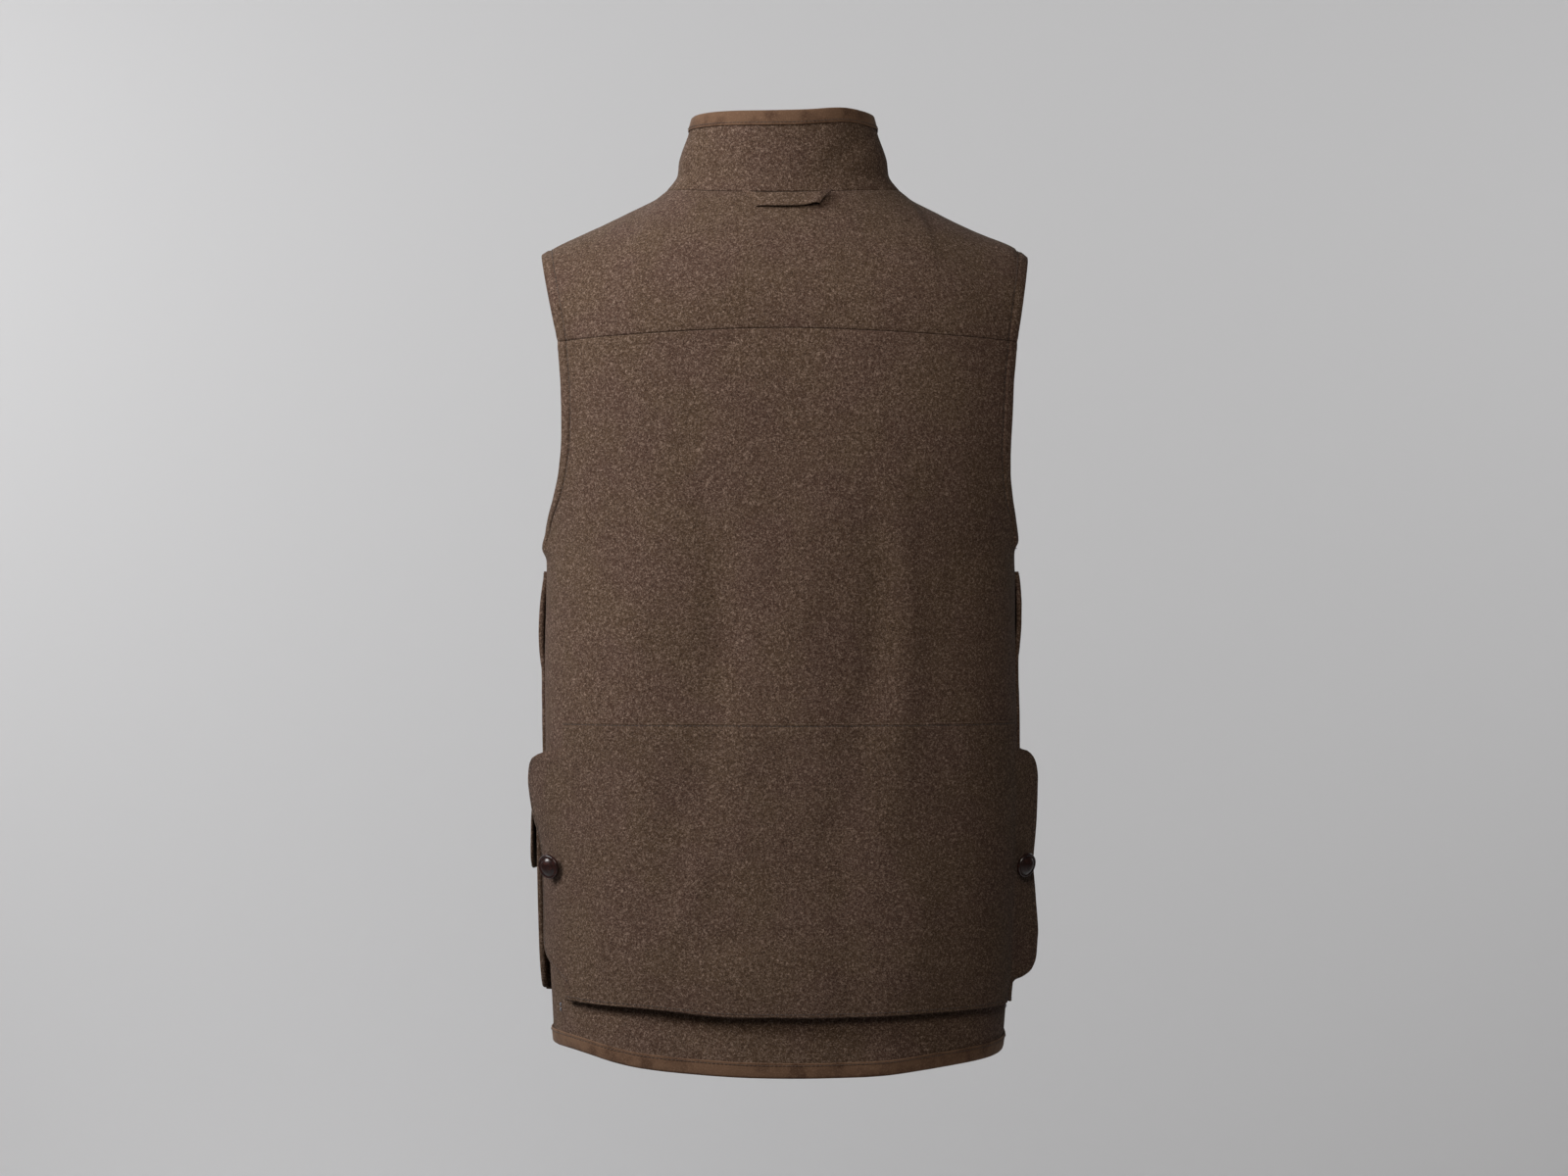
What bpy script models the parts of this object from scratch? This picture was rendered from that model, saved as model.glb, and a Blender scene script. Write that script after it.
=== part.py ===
"""Sleeveless wool field gilet, hollow, in the form it has when worn.

Metres, +Z up. The front faces -Y, the back faces +Y and the wearer's left is +X.
The origin lies at the base of the neck, midway between the two side-neck points.
Each panel is a cloth wall on one common body form: an angle round the body (0 at
the centre back, 90 degrees at the wearer's left side, 180 at the centre front)
and a height give a point on the outer face.
"""
import math
from collections import namedtuple

import bmesh
import bpy
from mathutils import Vector

# Cloth and seams
CLOTH = 0.0020
BINDING_CLOTH = 0.0010
SEAM_GAP = 0.0003
LAID_GAP = 0.0007
LAID_ON = CLOTH + LAID_GAP
BODY_ROUNDNESS = 2.4

# Widths and lengths of the cut
SIDE_SEAM_BACK_AT_HEM = 0.040
SIDE_SEAM_BACK_AT_UNDERARM = 0.018
UNDERARM_HEIGHT = -0.303
HEM_SIDE_HEIGHT = -0.7180
YOKE_SEAM_CENTRE = -0.1230
YOKE_SEAM_EDGE = -0.1315
CHEST_LINE_HEIGHT = -0.1500
SHOULDER_TIP_LEFT = Vector((0.2040, 0.004, -0.0545))
SHOULDER_TIP_RIGHT = Vector((-0.2065, 0.004, -0.0570))
ARMHOLE_LIP = 0.0040
LIP_SHARE = 0.10
SHOULDER_SAG = 0.0028
SHOULDER_END_AT = 0.15
SHOULDER_END_RISE_LEFT = 0.0006
SHOULDER_END_RISE_RIGHT = 0.0026
NECK_DIP = 0.0012
NECK_DIP_AT = 0.09
CENTRE_ARC = math.radians(40.0)

# Front closing, left over right
OVERLAP_PAST_CENTRE = 0.0140
OVERLAP_STEP = 0.0054
OVERLAP_FORWARD = Vector((0.0, -1.0, 0.0))
OVERLAP_RAMP_START = 0.020
OVERLAP_RAMP_END = 0.055
CHEST_FRONT_DEPTH = 0.122
FRONT_EDGE_ANGLE = math.pi + OVERLAP_PAST_CENTRE / CHEST_FRONT_DEPTH

# Collar
NECK_HALF_WIDTH = 0.0990
NECK_BACK = 0.062
NECK_FRONT = -0.080
NECK_BACK_DROP = 0.006
NECK_FRONT_DROP = 0.068
COLLAR_TOP_HALF_WIDTH = 0.0765
COLLAR_TOP_BACK = 0.057
COLLAR_TOP_FRONT = -0.087
COLLAR_TOP_SIDE_HEIGHT = 0.0610
COLLAR_TOP_FRONT_DROP = 0.0640
NECKLINE_SWEEP = 1.3

# Suede binding, folded over the edge
BINDING_WIDTH = 0.0105

# Buttons
BUTTON_SIDES = 12
FRONT_BUTTON_TOP = -0.165
FRONT_BUTTON_STEP = 0.113
FRONT_BUTTON_COUNT = 5
WING_BUTTON_HEIGHT = -0.5665
WING_BUTTON_SHANK = 0.0022

# Wing buttons hang on longer shanks: place round the body, lean to the rear and downward
WingButton = namedtuple("WingButton", "name degrees rearward droop")
WING_BUTTONS = [
    WingButton("wing_button_left", 74.8, 0.60, 0.28),
    WingButton("wing_button_right", -81.2, 0.32, 0.26),
]

# Domed button with a raised rim on a short shank: radius and rise from the cloth, foot to crown
ButtonRing = namedtuple("ButtonRing", "radius rise")
BUTTON_PROFILE = [
    ButtonRing(0.0000, 0.0000),
    ButtonRing(0.0030, 0.0000),
    ButtonRing(0.0030, 0.0014),
    ButtonRing(0.0088, 0.0019),
    ButtonRing(0.0105, 0.0038),
    ButtonRing(0.0094, 0.0056),
    ButtonRing(0.0079, 0.0054),
    ButtonRing(0.0048, 0.0073),
    ButtonRing(0.0000, 0.0082),
]

# Hanging loop in the collar seam
LOOP_CENTRE = -0.0045
LOOP_TOP_WIDTH = 0.0760
LOOP_LOWER_WIDTH = 0.0540
LOOP_DEPTH = 0.0190
LOOP_CLOTH = 0.0016
LOOP_SLIT = 0.0016
LOOP_BELOW_SEAM = 0.0012
LOOP_STAND = 0.0016
LOOP_COLUMNS = 14
LOOP_TIERS = 5

# Panel grids
CENTRE_COLUMNS = 12
SHOULDER_COLUMNS = 6
NECK_SHARE_OF_CHEST = 0.74
SIDE_SEAM_ROWS = 7
SIDE_SEAM_TOP = 0.012
PATCH_ROWS = 6

# Height of the hem's fold round the body: level round the fronts, dropped to a tail at the back
HemPoint = namedtuple("HemPoint", "degrees height")
HEM_LINE = [
    HemPoint(-180.0, -0.7180),
    HemPoint(-120.0, -0.7205),
    HemPoint(-90.0, -0.7222),
    HemPoint(-74.5, -0.7253),
    HemPoint(-62.5, -0.7278),
    HemPoint(-49.0, -0.7314),
    HemPoint(-36.0, -0.7346),
    HemPoint(-20.0, -0.7357),
    HemPoint(0.0, -0.7359),
    HemPoint(16.0, -0.7352),
    HemPoint(35.0, -0.7329),
    HemPoint(48.0, -0.7298),
    HemPoint(56.0, -0.7260),
    HemPoint(64.0, -0.7208),
    HemPoint(71.0, -0.7180),
    HemPoint(80.0, -0.7172),
    HemPoint(95.0, -0.7178),
    HemPoint(120.0, -0.7180),
    HemPoint(180.0, -0.7180),
]

Ring = namedtuple("Ring", "height left_half right_half back_depth front_depth")
BODY_RINGS = [
    Ring(-0.100, 0.2100, 0.2180, 0.110, 0.106),
    Ring(-0.150, 0.2095, 0.2175, 0.115, 0.113),
    Ring(-0.200, 0.2080, 0.2150, 0.117, 0.118),
    Ring(-0.250, 0.2030, 0.2045, 0.117, 0.121),
    Ring(-0.290, 0.1995, 0.1960, 0.116, 0.122),
    Ring(-0.330, 0.2000, 0.1960, 0.114, 0.122),
    Ring(-0.400, 0.2015, 0.1965, 0.111, 0.122),
    Ring(-0.452, 0.2010, 0.1975, 0.111, 0.123),
    Ring(-0.560, 0.1995, 0.1970, 0.115, 0.126),
    Ring(-0.640, 0.1975, 0.1930, 0.119, 0.127),
    Ring(-0.690, 0.1945, 0.1880, 0.120, 0.126),
    Ring(-0.740, 0.1930, 0.1840, 0.120, 0.125),
]

# Armhole edges as seen from the side: row height at the panel's centre, height and depth at the edge
ArmholeRow = namedtuple("ArmholeRow", "centre_height edge_height edge_depth lip")
BACK_ARMHOLE = [
    ArmholeRow(-0.303, -0.3030, 0.018, 0.90),
    ArmholeRow(-0.294, -0.2940, 0.024, 0.95),
    ArmholeRow(-0.282, -0.2830, 0.032, 0.75),
    ArmholeRow(-0.262, -0.2630, 0.048, 0.35),
    ArmholeRow(-0.240, -0.2400, 0.058, 0.0),
    ArmholeRow(-0.210, -0.2110, 0.065, 0.0),
    ArmholeRow(-0.168, -0.1720, 0.066, 0.0),
    ArmholeRow(YOKE_SEAM_CENTRE, YOKE_SEAM_EDGE, 0.062, 0.0),
]
FRONT_ARMHOLE = [
    ArmholeRow(-0.303, -0.3030, 0.018, 0.90),
    ArmholeRow(-0.290, -0.3020, -0.004, 0.95),
    ArmholeRow(-0.275, -0.2920, -0.028, 0.65),
    ArmholeRow(-0.255, -0.2700, -0.050, 0.20),
    ArmholeRow(-0.228, -0.2380, -0.066, 0.0),
    ArmholeRow(-0.192, -0.1970, -0.074, 0.0),
    ArmholeRow(CHEST_LINE_HEIGHT, CHEST_LINE_HEIGHT, -0.074, 0.0),
]

# Side seam rows under the armhole: distance below it, share of the lip
UnderarmRow = namedtuple("UnderarmRow", "below lip")
UNDERARM_FLARE = [UnderarmRow(0.028, 0.0), UnderarmRow(0.010, 0.45)]

# Rise of the collar's outer face: share of its height, share of the way from neck seam to top edge
CollarRow = namedtuple("CollarRow", "height_share inward_share")
COLLAR_ROWS = [
    CollarRow(0.00, 0.00),
    CollarRow(0.10, 0.25),
    CollarRow(0.20, 0.42),
    CollarRow(0.43, 0.50),
    CollarRow(0.72, 0.77),
    CollarRow(1.00, 1.00),
]

# Soft vertical hollows of the hanging cloth: angle, half width, depth, heights between which it runs
Fold = namedtuple("Fold", "angle spread depth top bottom")
FOLDS = [
    Fold(36.0, 11.0, 0.0028, -0.34, -0.80),
    Fold(-26.0, 9.0, 0.0018, -0.42, -0.80),
    Fold(-54.0, 11.0, 0.0026, -0.24, -0.80),
    Fold(128.0, 11.0, 0.0024, -0.26, -0.80),
    Fold(-124.0, 11.0, 0.0026, -0.26, -0.80),
    Fold(158.0, 9.0, 0.0016, -0.34, -0.80),
    Fold(-154.0, 9.0, 0.0018, -0.30, -0.80),
]
FOLD_FADE = 0.09

# Game pocket across the back with a wing round each side. Outward distances from the body:
# stand at the centre back, root where the wing starts, out at the wing's front edge.
PocketRow = namedtuple(
    "PocketRow", "height stand root left_out right_out left_edge right_edge"
)
GAME_POCKET_LEFT_ROOT = 67.0
GAME_POCKET_RIGHT_ROOT = 78.5
GAME_POCKET_ROWS = [
    PocketRow(-0.4466, 0.0028, 0.0028, 0.0028, 0.0028, 72.0, 80.5),
    PocketRow(-0.4690, 0.0034, 0.0030, 0.0036, 0.0036, 72.5, 81.0),
    PocketRow(-0.4725, 0.0035, 0.0030, 0.0072, 0.0100, 78.0, 83.6),
    PocketRow(-0.4780, 0.0037, 0.0031, 0.0132, 0.0145, 82.5, 85.2),
    PocketRow(-0.4860, 0.0039, 0.0031, 0.0150, 0.0170, 84.8, 86.5),
    PocketRow(-0.4970, 0.0042, 0.0031, 0.0155, 0.0180, 85.5, 87.0),
    PocketRow(-0.5250, 0.0050, 0.0031, 0.0122, 0.0176, 85.5, 87.0),
    PocketRow(-0.5470, 0.0058, 0.0031, 0.0070, 0.0162, 85.5, 87.0),
    PocketRow(-0.5670, 0.0065, 0.0031, 0.0045, 0.0148, 85.5, 87.0),
    PocketRow(-0.5950, 0.0076, 0.0031, 0.0042, 0.0180, 85.5, 87.0),
    PocketRow(-0.6280, 0.0090, 0.0034, 0.0050, 0.0220, 85.5, 87.0),
    PocketRow(-0.6470, 0.0098, 0.0039, 0.0056, 0.0218, 82.5, 86.2),
    PocketRow(-0.6590, 0.0103, 0.0043, 0.0052, 0.0190, 76.5, 84.6),
    PocketRow(-0.6655, 0.0106, 0.0046, 0.0050, 0.0120, 72.5, 82.0),
    PocketRow(-0.6690, 0.0108, 0.0048, 0.0052, 0.0064, 71.0, 80.0),
    PocketRow(-0.6850, 0.0115, 0.0056, 0.0058, 0.0070, 70.0, 79.8),
    PocketRow(-0.6825, 0.0064, 0.0038, 0.0038, 0.0042, 70.0, 79.8),
    PocketRow(-0.6795, 0.0010, 0.0010, 0.0010, 0.0010, 70.0, 79.8),
]
GAME_POCKET_OUTER_ROWS = 16
GAME_POCKET_CENTRE_COLUMNS = 28
WING_COLUMNS = 4
WING_CURL = 1.5
POCKET_END_RISE = 0.0050
POCKET_RISE_TOP = -0.600
POCKET_RISE_REACH = 0.070
POCKET_LEVEL_SHARE = 0.25

# Hand pockets on the chest, open along the rear edge
HAND_POCKET_TOP = -0.322
HAND_POCKET_FOOT = -0.482
HAND_POCKET_REAR = 90.0
HAND_POCKET_FORE = 138.0
HAND_POCKET_GAPE = 0.0032
HAND_POCKET_GAPE_HEIGHT = -0.366
HAND_POCKET_GAPE_REACH = 0.042
HAND_POCKET_ROWS = 9
HAND_POCKET_COLUMNS = 10

# Bellows pockets on the skirt and their flaps
BELLOWS_REAR = 91.5
BELLOWS_FORE = 146.0
BELLOWS_STAND = 0.0090
BellowsRow = namedtuple("BellowsRow", "height stand_share rear_round")
BELLOWS_ROWS = [
    BellowsRow(-0.520, 1.0, 0.0),
    BellowsRow(-0.560, 1.0, 0.0),
    BellowsRow(-0.600, 1.0, 0.0),
    BellowsRow(-0.640, 1.0, 0.0),
    BellowsRow(-0.660, 1.0, 0.2),
    BellowsRow(-0.6710, 1.0, 1.6),
    BellowsRow(-0.6745, 0.94, 3.0),
    BellowsRow(-0.6756, 0.22, 3.4),
]
BELLOWS_TURN_IN = 0.22
BELLOWS_COLUMNS = 9
BELLOWS_WALL_ANGLE = 0.35
FLAP_REAR = 91.0
FLAP_FORE = 147.5
FlapRow = namedtuple("FlapRow", "height out rear_flare corner_round")
FLAP_ROWS = [
    FlapRow(-0.5030, 0.0028, 0.0, 0.0),
    FlapRow(-0.5110, 0.0086, 0.0, 0.0),
    FlapRow(-0.5190, 0.0120, 0.0004, 0.0),
    FlapRow(-0.5400, 0.0123, 0.0016, 0.0),
    FlapRow(-0.5620, 0.0124, 0.0022, 0.0),
    FlapRow(-0.5695, 0.0124, 0.0020, 1.0),
    FlapRow(-0.5738, 0.0124, 0.0016, 3.2),
]
FLAP_COLUMNS = 10

# Finishes: colour, roughness
WOOL = ("wool", (0.085, 0.055, 0.039), 0.92)
SUEDE = ("suede", (0.105, 0.062, 0.036), 0.85)
HORN = ("horn", (0.022, 0.010, 0.008), 0.25)


def clear_scene():
    for item in list(bpy.data.objects):
        bpy.data.objects.remove(item, do_unlink=True)


def smooth_step(value):
    value = min(max(value, 0.0), 1.0)
    return value * value * (3.0 - 2.0 * value)


def table_value(rows, key, place, column):
    """A column's value at a place between rows, on a smooth curve through them."""
    places = [getattr(row, key) for row in rows]
    values = [getattr(row, column) for row in rows]
    if places[0] > places[-1]:
        places.reverse()
        values.reverse()
    place = min(max(place, places[0]), places[-1])
    last = len(places) - 2
    at = next((i for i in range(last) if place <= places[i + 1]), last)
    slopes = []
    for i in (at, at + 1):
        before, after = max(i - 1, 0), min(i + 1, last + 1)
        slopes.append((values[after] - values[before]) / (places[after] - places[before]))
    width = places[at + 1] - places[at]
    t = (place - places[at]) / width
    start = (1 + 2 * t) * (1 - t) ** 2 * values[at] + t * (1 - t) ** 2 * width * slopes[0]
    end = t * t * (3 - 2 * t) * values[at + 1] + t * t * (t - 1) * width * slopes[1]
    return start + end


def ring_size(height, angle):
    """Half width and depth of the body section on the side that the angle lies on."""
    half = "left_half" if math.sin(angle) >= 0 else "right_half"
    depth = "back_depth" if math.cos(angle) >= 0 else "front_depth"
    return (
        table_value(BODY_RINGS, "height", height, half),
        table_value(BODY_RINGS, "height", height, depth),
    )


def round_section(angle, half, depth, roundness):
    """Distance from the axis to a rounded rectangle-like section at an angle."""
    across = abs(math.sin(angle) / half) ** roundness
    along = abs(math.cos(angle) / depth) ** roundness
    return (across + along) ** (-1.0 / roundness)


def fold_depth(angle, height):
    total = 0.0
    for fold in FOLDS:
        turn = math.degrees(angle) - fold.angle
        turn = (turn + 180.0) % 360.0 - 180.0
        fade = smooth_step((fold.top - height) / FOLD_FADE)
        fade *= smooth_step((height - fold.bottom) / FOLD_FADE)
        total += fold.depth * fade * math.exp(-((turn / fold.spread) ** 2))
    return total


def body_point(angle, height):
    """A point on the outer face of the body cloth."""
    half, depth = ring_size(height, angle)
    reach = round_section(angle, half, depth, BODY_ROUNDNESS) - fold_depth(angle, height)
    return Vector((reach * math.sin(angle), reach * math.cos(angle), height))


def outward(surface, first, second, point):
    """Outward unit normal of a surface of two parameters."""
    step = 0.002
    along = surface(first + step, second) - surface(first - step, second)
    up = surface(first, second + step) - surface(first, second - step)
    normal = along.cross(up).normalized()
    from_core = point - Vector((0.0, 0.0, min(point.z, -0.20)))
    return normal if normal.dot(from_core) > 0 else -normal


def body_raised(angle, height, out):
    point = body_point(angle, height)
    return point + outward(body_point, angle, height, point) * out


def angle_at_depth(depth_at, height, side):
    """Angle where the body section of a height lies at a given depth, on one side."""
    half, depth = ring_size(height, side * (1.0 if depth_at >= 0 else 2.0))
    width = half * (1.0 - (abs(depth_at) / depth) ** BODY_ROUNDNESS) ** (1.0 / BODY_ROUNDNESS)
    return side * math.atan2(width, depth_at)


def hem_height(angle):
    """Height of the hem's fold at an angle."""
    degrees = (math.degrees(angle) + 180.0) % 360.0 - 180.0
    return table_value(HEM_LINE, "degrees", degrees, "height")


def side_seam_depth(height):
    share = (height - UNDERARM_HEIGHT) / (HEM_SIDE_HEIGHT - UNDERARM_HEIGHT)
    return SIDE_SEAM_BACK_AT_UNDERARM + (SIDE_SEAM_BACK_AT_HEM - SIDE_SEAM_BACK_AT_UNDERARM) * share


def neck_point(angle):
    """Neck seam: low at the pit of the neck, nearly level round the back."""
    depth = NECK_BACK if math.cos(angle) >= 0 else -NECK_FRONT
    x = NECK_HALF_WIDTH * math.sin(angle)
    y = depth * math.cos(angle)
    if math.cos(angle) >= 0:
        z = -NECK_BACK_DROP * math.cos(angle) ** 2
    else:
        z = -NECK_FRONT_DROP * abs(math.cos(angle)) ** NECKLINE_SWEEP
    return Vector((x, y, z))


def collar_top_point(angle):
    depth = COLLAR_TOP_BACK if math.cos(angle) >= 0 else -COLLAR_TOP_FRONT
    x = COLLAR_TOP_HALF_WIDTH * math.sin(angle)
    y = depth * math.cos(angle)
    z = COLLAR_TOP_SIDE_HEIGHT
    if math.cos(angle) < 0:
        z -= COLLAR_TOP_FRONT_DROP * abs(math.cos(angle)) ** NECKLINE_SWEEP
    return Vector((x, y, z))


def collar_point(angle, height_share):
    seam, top = neck_point(angle), collar_top_point(angle)
    inward = table_value(COLLAR_ROWS, "height_share", height_share, "inward_share")
    point = seam.lerp(top, inward)
    point.z = seam.z + (top.z - seam.z) * height_share
    return point


def overlap_rise(own_x, side):
    """The left front lies over the right one: how far an edge is moved out near the centre front."""
    share = smooth_step((OVERLAP_RAMP_END - own_x) / (OVERLAP_RAMP_END - OVERLAP_RAMP_START))
    return side * OVERLAP_STEP / 2.0 * share


def column_shares():
    """Shares across a panel from its centre to its armhole, with the neck point's index."""
    shares = [i / CENTRE_COLUMNS for i in range(CENTRE_COLUMNS)]
    shares += [1.0 + i / SHOULDER_COLUMNS for i in range(SHOULDER_COLUMNS + 1)]
    return shares


def chest_share(share):
    """Share of a body row for a column: neck columns take most of it."""
    if share <= 1.0:
        return share * NECK_SHARE_OF_CHEST
    return NECK_SHARE_OF_CHEST + (share - 1.0) * (1.0 - NECK_SHARE_OF_CHEST)


def shoulder_tip(side):
    return SHOULDER_TIP_LEFT if side > 0 else SHOULDER_TIP_RIGHT


def neck_angle(share, side, centre_angle):
    """Angle round the neck for a share of the way from a panel's centre to the side of the neck."""
    return side * (centre_angle + (math.pi / 2.0 - centre_angle) * share)


def top_point(share, side, centre_angle):
    """Upper edge of a panel: the neck seam up to share 1, then the shoulder seam up to share 2."""
    if share <= 1.0:
        return neck_point(neck_angle(share, side, centre_angle))
    along = share - 1.0
    point = neck_point(side * math.pi / 2.0).lerp(shoulder_tip(side), along)
    dip = along / NECK_DIP_AT
    point.z -= NECK_DIP * dip ** 2 * math.exp(2.0 - 2.0 * dip)
    end = (1.0 - along) / SHOULDER_END_AT
    rise = SHOULDER_END_RISE_LEFT if side > 0 else SHOULDER_END_RISE_RIGHT
    point.z += rise * end ** 2 * math.exp(2.0 - 2.0 * end)
    point.z -= SHOULDER_SAG * 4.0 * along * (1.0 - along) ** 2
    return point


def upper_point(share, rise, side, foot, centre_angle):
    """The cloth between a body row and the neck or shoulder: a short arc at the centre,
    a quarter turn over the shoulder."""
    low, high = foot(share), top_point(share, side, centre_angle)
    to_arm = smooth_step(share - 1.0)
    arc = CENTRE_ARC + (math.pi / 2.0 - CENTRE_ARC) * smooth_step(share / 2.0)
    turn = min(max(rise, 0.0), 1.0) * arc
    climb = math.sin(turn) / math.sin(arc)
    reach_in = (1.0 - math.cos(turn)) / (1.0 - math.cos(arc))
    across = reach_in + (climb - reach_in) * to_arm
    return Vector((
        low.x + (high.x - low.x) * across,
        low.y + (high.y - low.y) * reach_in,
        low.z + (high.z - low.z) * climb,
    ))


def lip_rise(row, share):
    """The turned armhole edge stands a little proud near the underarm."""
    return ARMHOLE_LIP * row.lip * smooth_step((chest_share(share) - 1.0) / LIP_SHARE + 1.0)


def seam_rows():
    """Rows along the side seam from the hem to just under the armhole."""
    rows = []
    for i in range(SIDE_SEAM_ROWS):
        share = i / SIDE_SEAM_ROWS
        height = HEM_SIDE_HEIGHT + (UNDERARM_HEIGHT - SIDE_SEAM_TOP - HEM_SIDE_HEIGHT) * share
        rows.append(ArmholeRow(height, height, side_seam_depth(height), 0.0))
    for below, lip in UNDERARM_FLARE:
        height = UNDERARM_HEIGHT - below
        rows.append(ArmholeRow(height, height, side_seam_depth(height), lip))
    return rows


def body_row(row, side, centre_angle, to_hem):
    """Points and normals of one row from the centre to the side seam or armhole."""
    edge = angle_at_depth(row.edge_depth, row.edge_height, side)
    points = []
    for share in column_shares():
        part = chest_share(share)
        angle = side * centre_angle * (1.0 - part) + edge * part
        height = row.centre_height + (row.edge_height - row.centre_height) * part ** 2
        if to_hem:
            height = hem_height(angle) + BINDING_CLOTH + SEAM_GAP
        point = body_point(angle, height)
        normal = outward(body_point, angle, height, point)
        placed = point + normal * lip_rise(row, share)
        if centre_angle == FRONT_EDGE_ANGLE:
            placed += OVERLAP_FORWARD * overlap_rise(side * point.x, side)
        points.append((placed, normal))
    return points


def upper_rows(side, centre_angle, row, start):
    """Rows from a body row over the shoulder to the neck and shoulder seams."""
    edge = angle_at_depth(row.edge_depth, row.edge_height, side)

    def foot(share):
        part = chest_share(share)
        angle = side * centre_angle * (1.0 - part) + edge * part
        height = row.centre_height + (row.edge_height - row.centre_height) * part ** 2
        return body_point(angle, height)

    def surface(share, rise):
        return upper_point(share, rise, side, foot, centre_angle)

    rows = []
    for i in range(start, PATCH_ROWS + 1):
        points = []
        for share in column_shares():
            rise = i / PATCH_ROWS
            point = surface(share, rise)
            normal = outward(surface, share, min(max(rise, 0.01), 0.97), point)
            # Front and yoke meet edge to edge along the shoulder, so both walls stand in one plane
            if i == PATCH_ROWS and share >= 1.0:
                normal = Vector((normal.x, 0.0, normal.z)).normalized()
            if centre_angle == FRONT_EDGE_ANGLE:
                point = point + OVERLAP_FORWARD * overlap_rise(side * point.x, side)
            points.append((point, normal))
        rows.append(points)
    return rows


def trimmed(rows, amount):
    """The panel's rim drawn in by half a seam gap on all four sides."""
    def drawn(point, towards):
        return point + (towards - point).normalized() * amount

    for row in rows:
        row[0] = (drawn(row[0][0], row[1][0]), row[0][1])
        row[-1] = (drawn(row[-1][0], row[-2][0]), row[-1][1])
    for edge, inner in ((0, 1), (-1, -2)):
        rows[edge] = [
            (drawn(point, rows[inner][i][0]), normal)
            for i, (point, normal) in enumerate(rows[edge])
        ]
    return rows


def grid_normals(points):
    """Rows of points with normals taken from their neighbours."""
    rows = []
    for r, row in enumerate(points):
        out = []
        for c, point in enumerate(row):
            along = row[min(c + 1, len(row) - 1)] - row[max(c - 1, 0)]
            up = points[min(r + 1, len(points) - 1)][c] - points[max(r - 1, 0)][c]
            out.append((point, along.cross(up).normalized()))
        rows.append(out)
    return rows


def finish(name, material, verts, faces, sharp_angle):
    mesh = bpy.data.meshes.new(name)
    mesh.from_pydata([tuple(v) for v in verts], [], faces)
    shell = bmesh.new()
    shell.from_mesh(mesh)
    bmesh.ops.triangulate(shell, faces=[f for f in shell.faces if len(f.verts) > 3])
    bmesh.ops.recalc_face_normals(shell, faces=shell.faces)
    shell.to_mesh(mesh)
    shell.free()
    mesh.materials.append(material)
    mesh.shade_smooth()
    mesh.set_sharp_from_angle(angle=math.radians(sharp_angle))
    item = bpy.data.objects.new(name, mesh)
    bpy.context.scene.collection.objects.link(item)
    return item


def cloth_wall(name, material, rows, thickness):
    """A closed wall from rows of outer points and their outward normals."""
    count, width = len(rows), len(rows[0])
    verts = [point for row in rows for point, _ in row]
    verts += [point - normal * thickness for row in rows for point, normal in row]
    inner = count * width
    faces = []
    for r in range(count - 1):
        for c in range(width - 1):
            quad = [r * width + c, r * width + c + 1, (r + 1) * width + c + 1, (r + 1) * width + c]
            faces.append(quad)
            faces.append([inner + i for i in reversed(quad)])
    rim = list(range(width))
    rim += [r * width + width - 1 for r in range(1, count)]
    rim += [(count - 1) * width + c for c in range(width - 2, -1, -1)]
    rim += [r * width for r in range(count - 2, 0, -1)]
    for i, start in enumerate(rim):
        end = rim[(i + 1) % len(rim)]
        faces.append([end, start, inner + start, inner + end])
    return finish(name, material, verts, faces, 50.0)


def swept_binding(name, material, frames):
    """A strip folded over an edge: frames hold the edge point, outward and beyond-edge directions."""
    gap, skin, width = SEAM_GAP, SEAM_GAP + BINDING_CLOTH, BINDING_WIDTH
    profile = [
        (gap, -width), (skin, -width), (skin, skin), (-CLOTH - skin, skin),
        (-CLOTH - skin, -width), (-CLOTH - gap, -width), (-CLOTH - gap, gap), (gap, gap),
    ]
    verts, faces = [], []
    for edge, out, beyond in frames:
        verts += [edge + out * a + beyond * b for a, b in profile]
    size = len(profile)
    for i in range(len(frames) - 1):
        for j in range(size):
            k = (j + 1) % size
            faces.append([i * size + j, i * size + k, (i + 1) * size + k, (i + 1) * size + j])
    last = (len(frames) - 1) * size
    for base in (0, last):
        faces.append([base + j for j in (0, 1, 2, 7)])
        faces.append([base + j for j in (2, 3, 6, 7)])
        faces.append([base + j for j in (3, 4, 5, 6)])
    return finish(name, material, verts, faces, 40.0)


def make_material(finish_row):
    name, colour, roughness = finish_row
    material = bpy.data.materials.new(name)
    material.use_nodes = True
    shader = material.node_tree.nodes["Principled BSDF"]
    shader.inputs["Base Color"].default_value = (*colour, 1.0)
    shader.inputs["Roughness"].default_value = roughness
    shader.inputs["Metallic"].default_value = 0.0
    return material


def mirrored_pair(left, right):
    """One row across the whole back from its two halves, which share their centre point."""
    return list(reversed(right)) + left[1:]


def hem_edge(rows):
    """A panel's lower edge: each point with its normal and the point above it."""
    return [(point, normal, rows[1][i][0]) for i, (point, normal) in enumerate(rows[0])]


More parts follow.
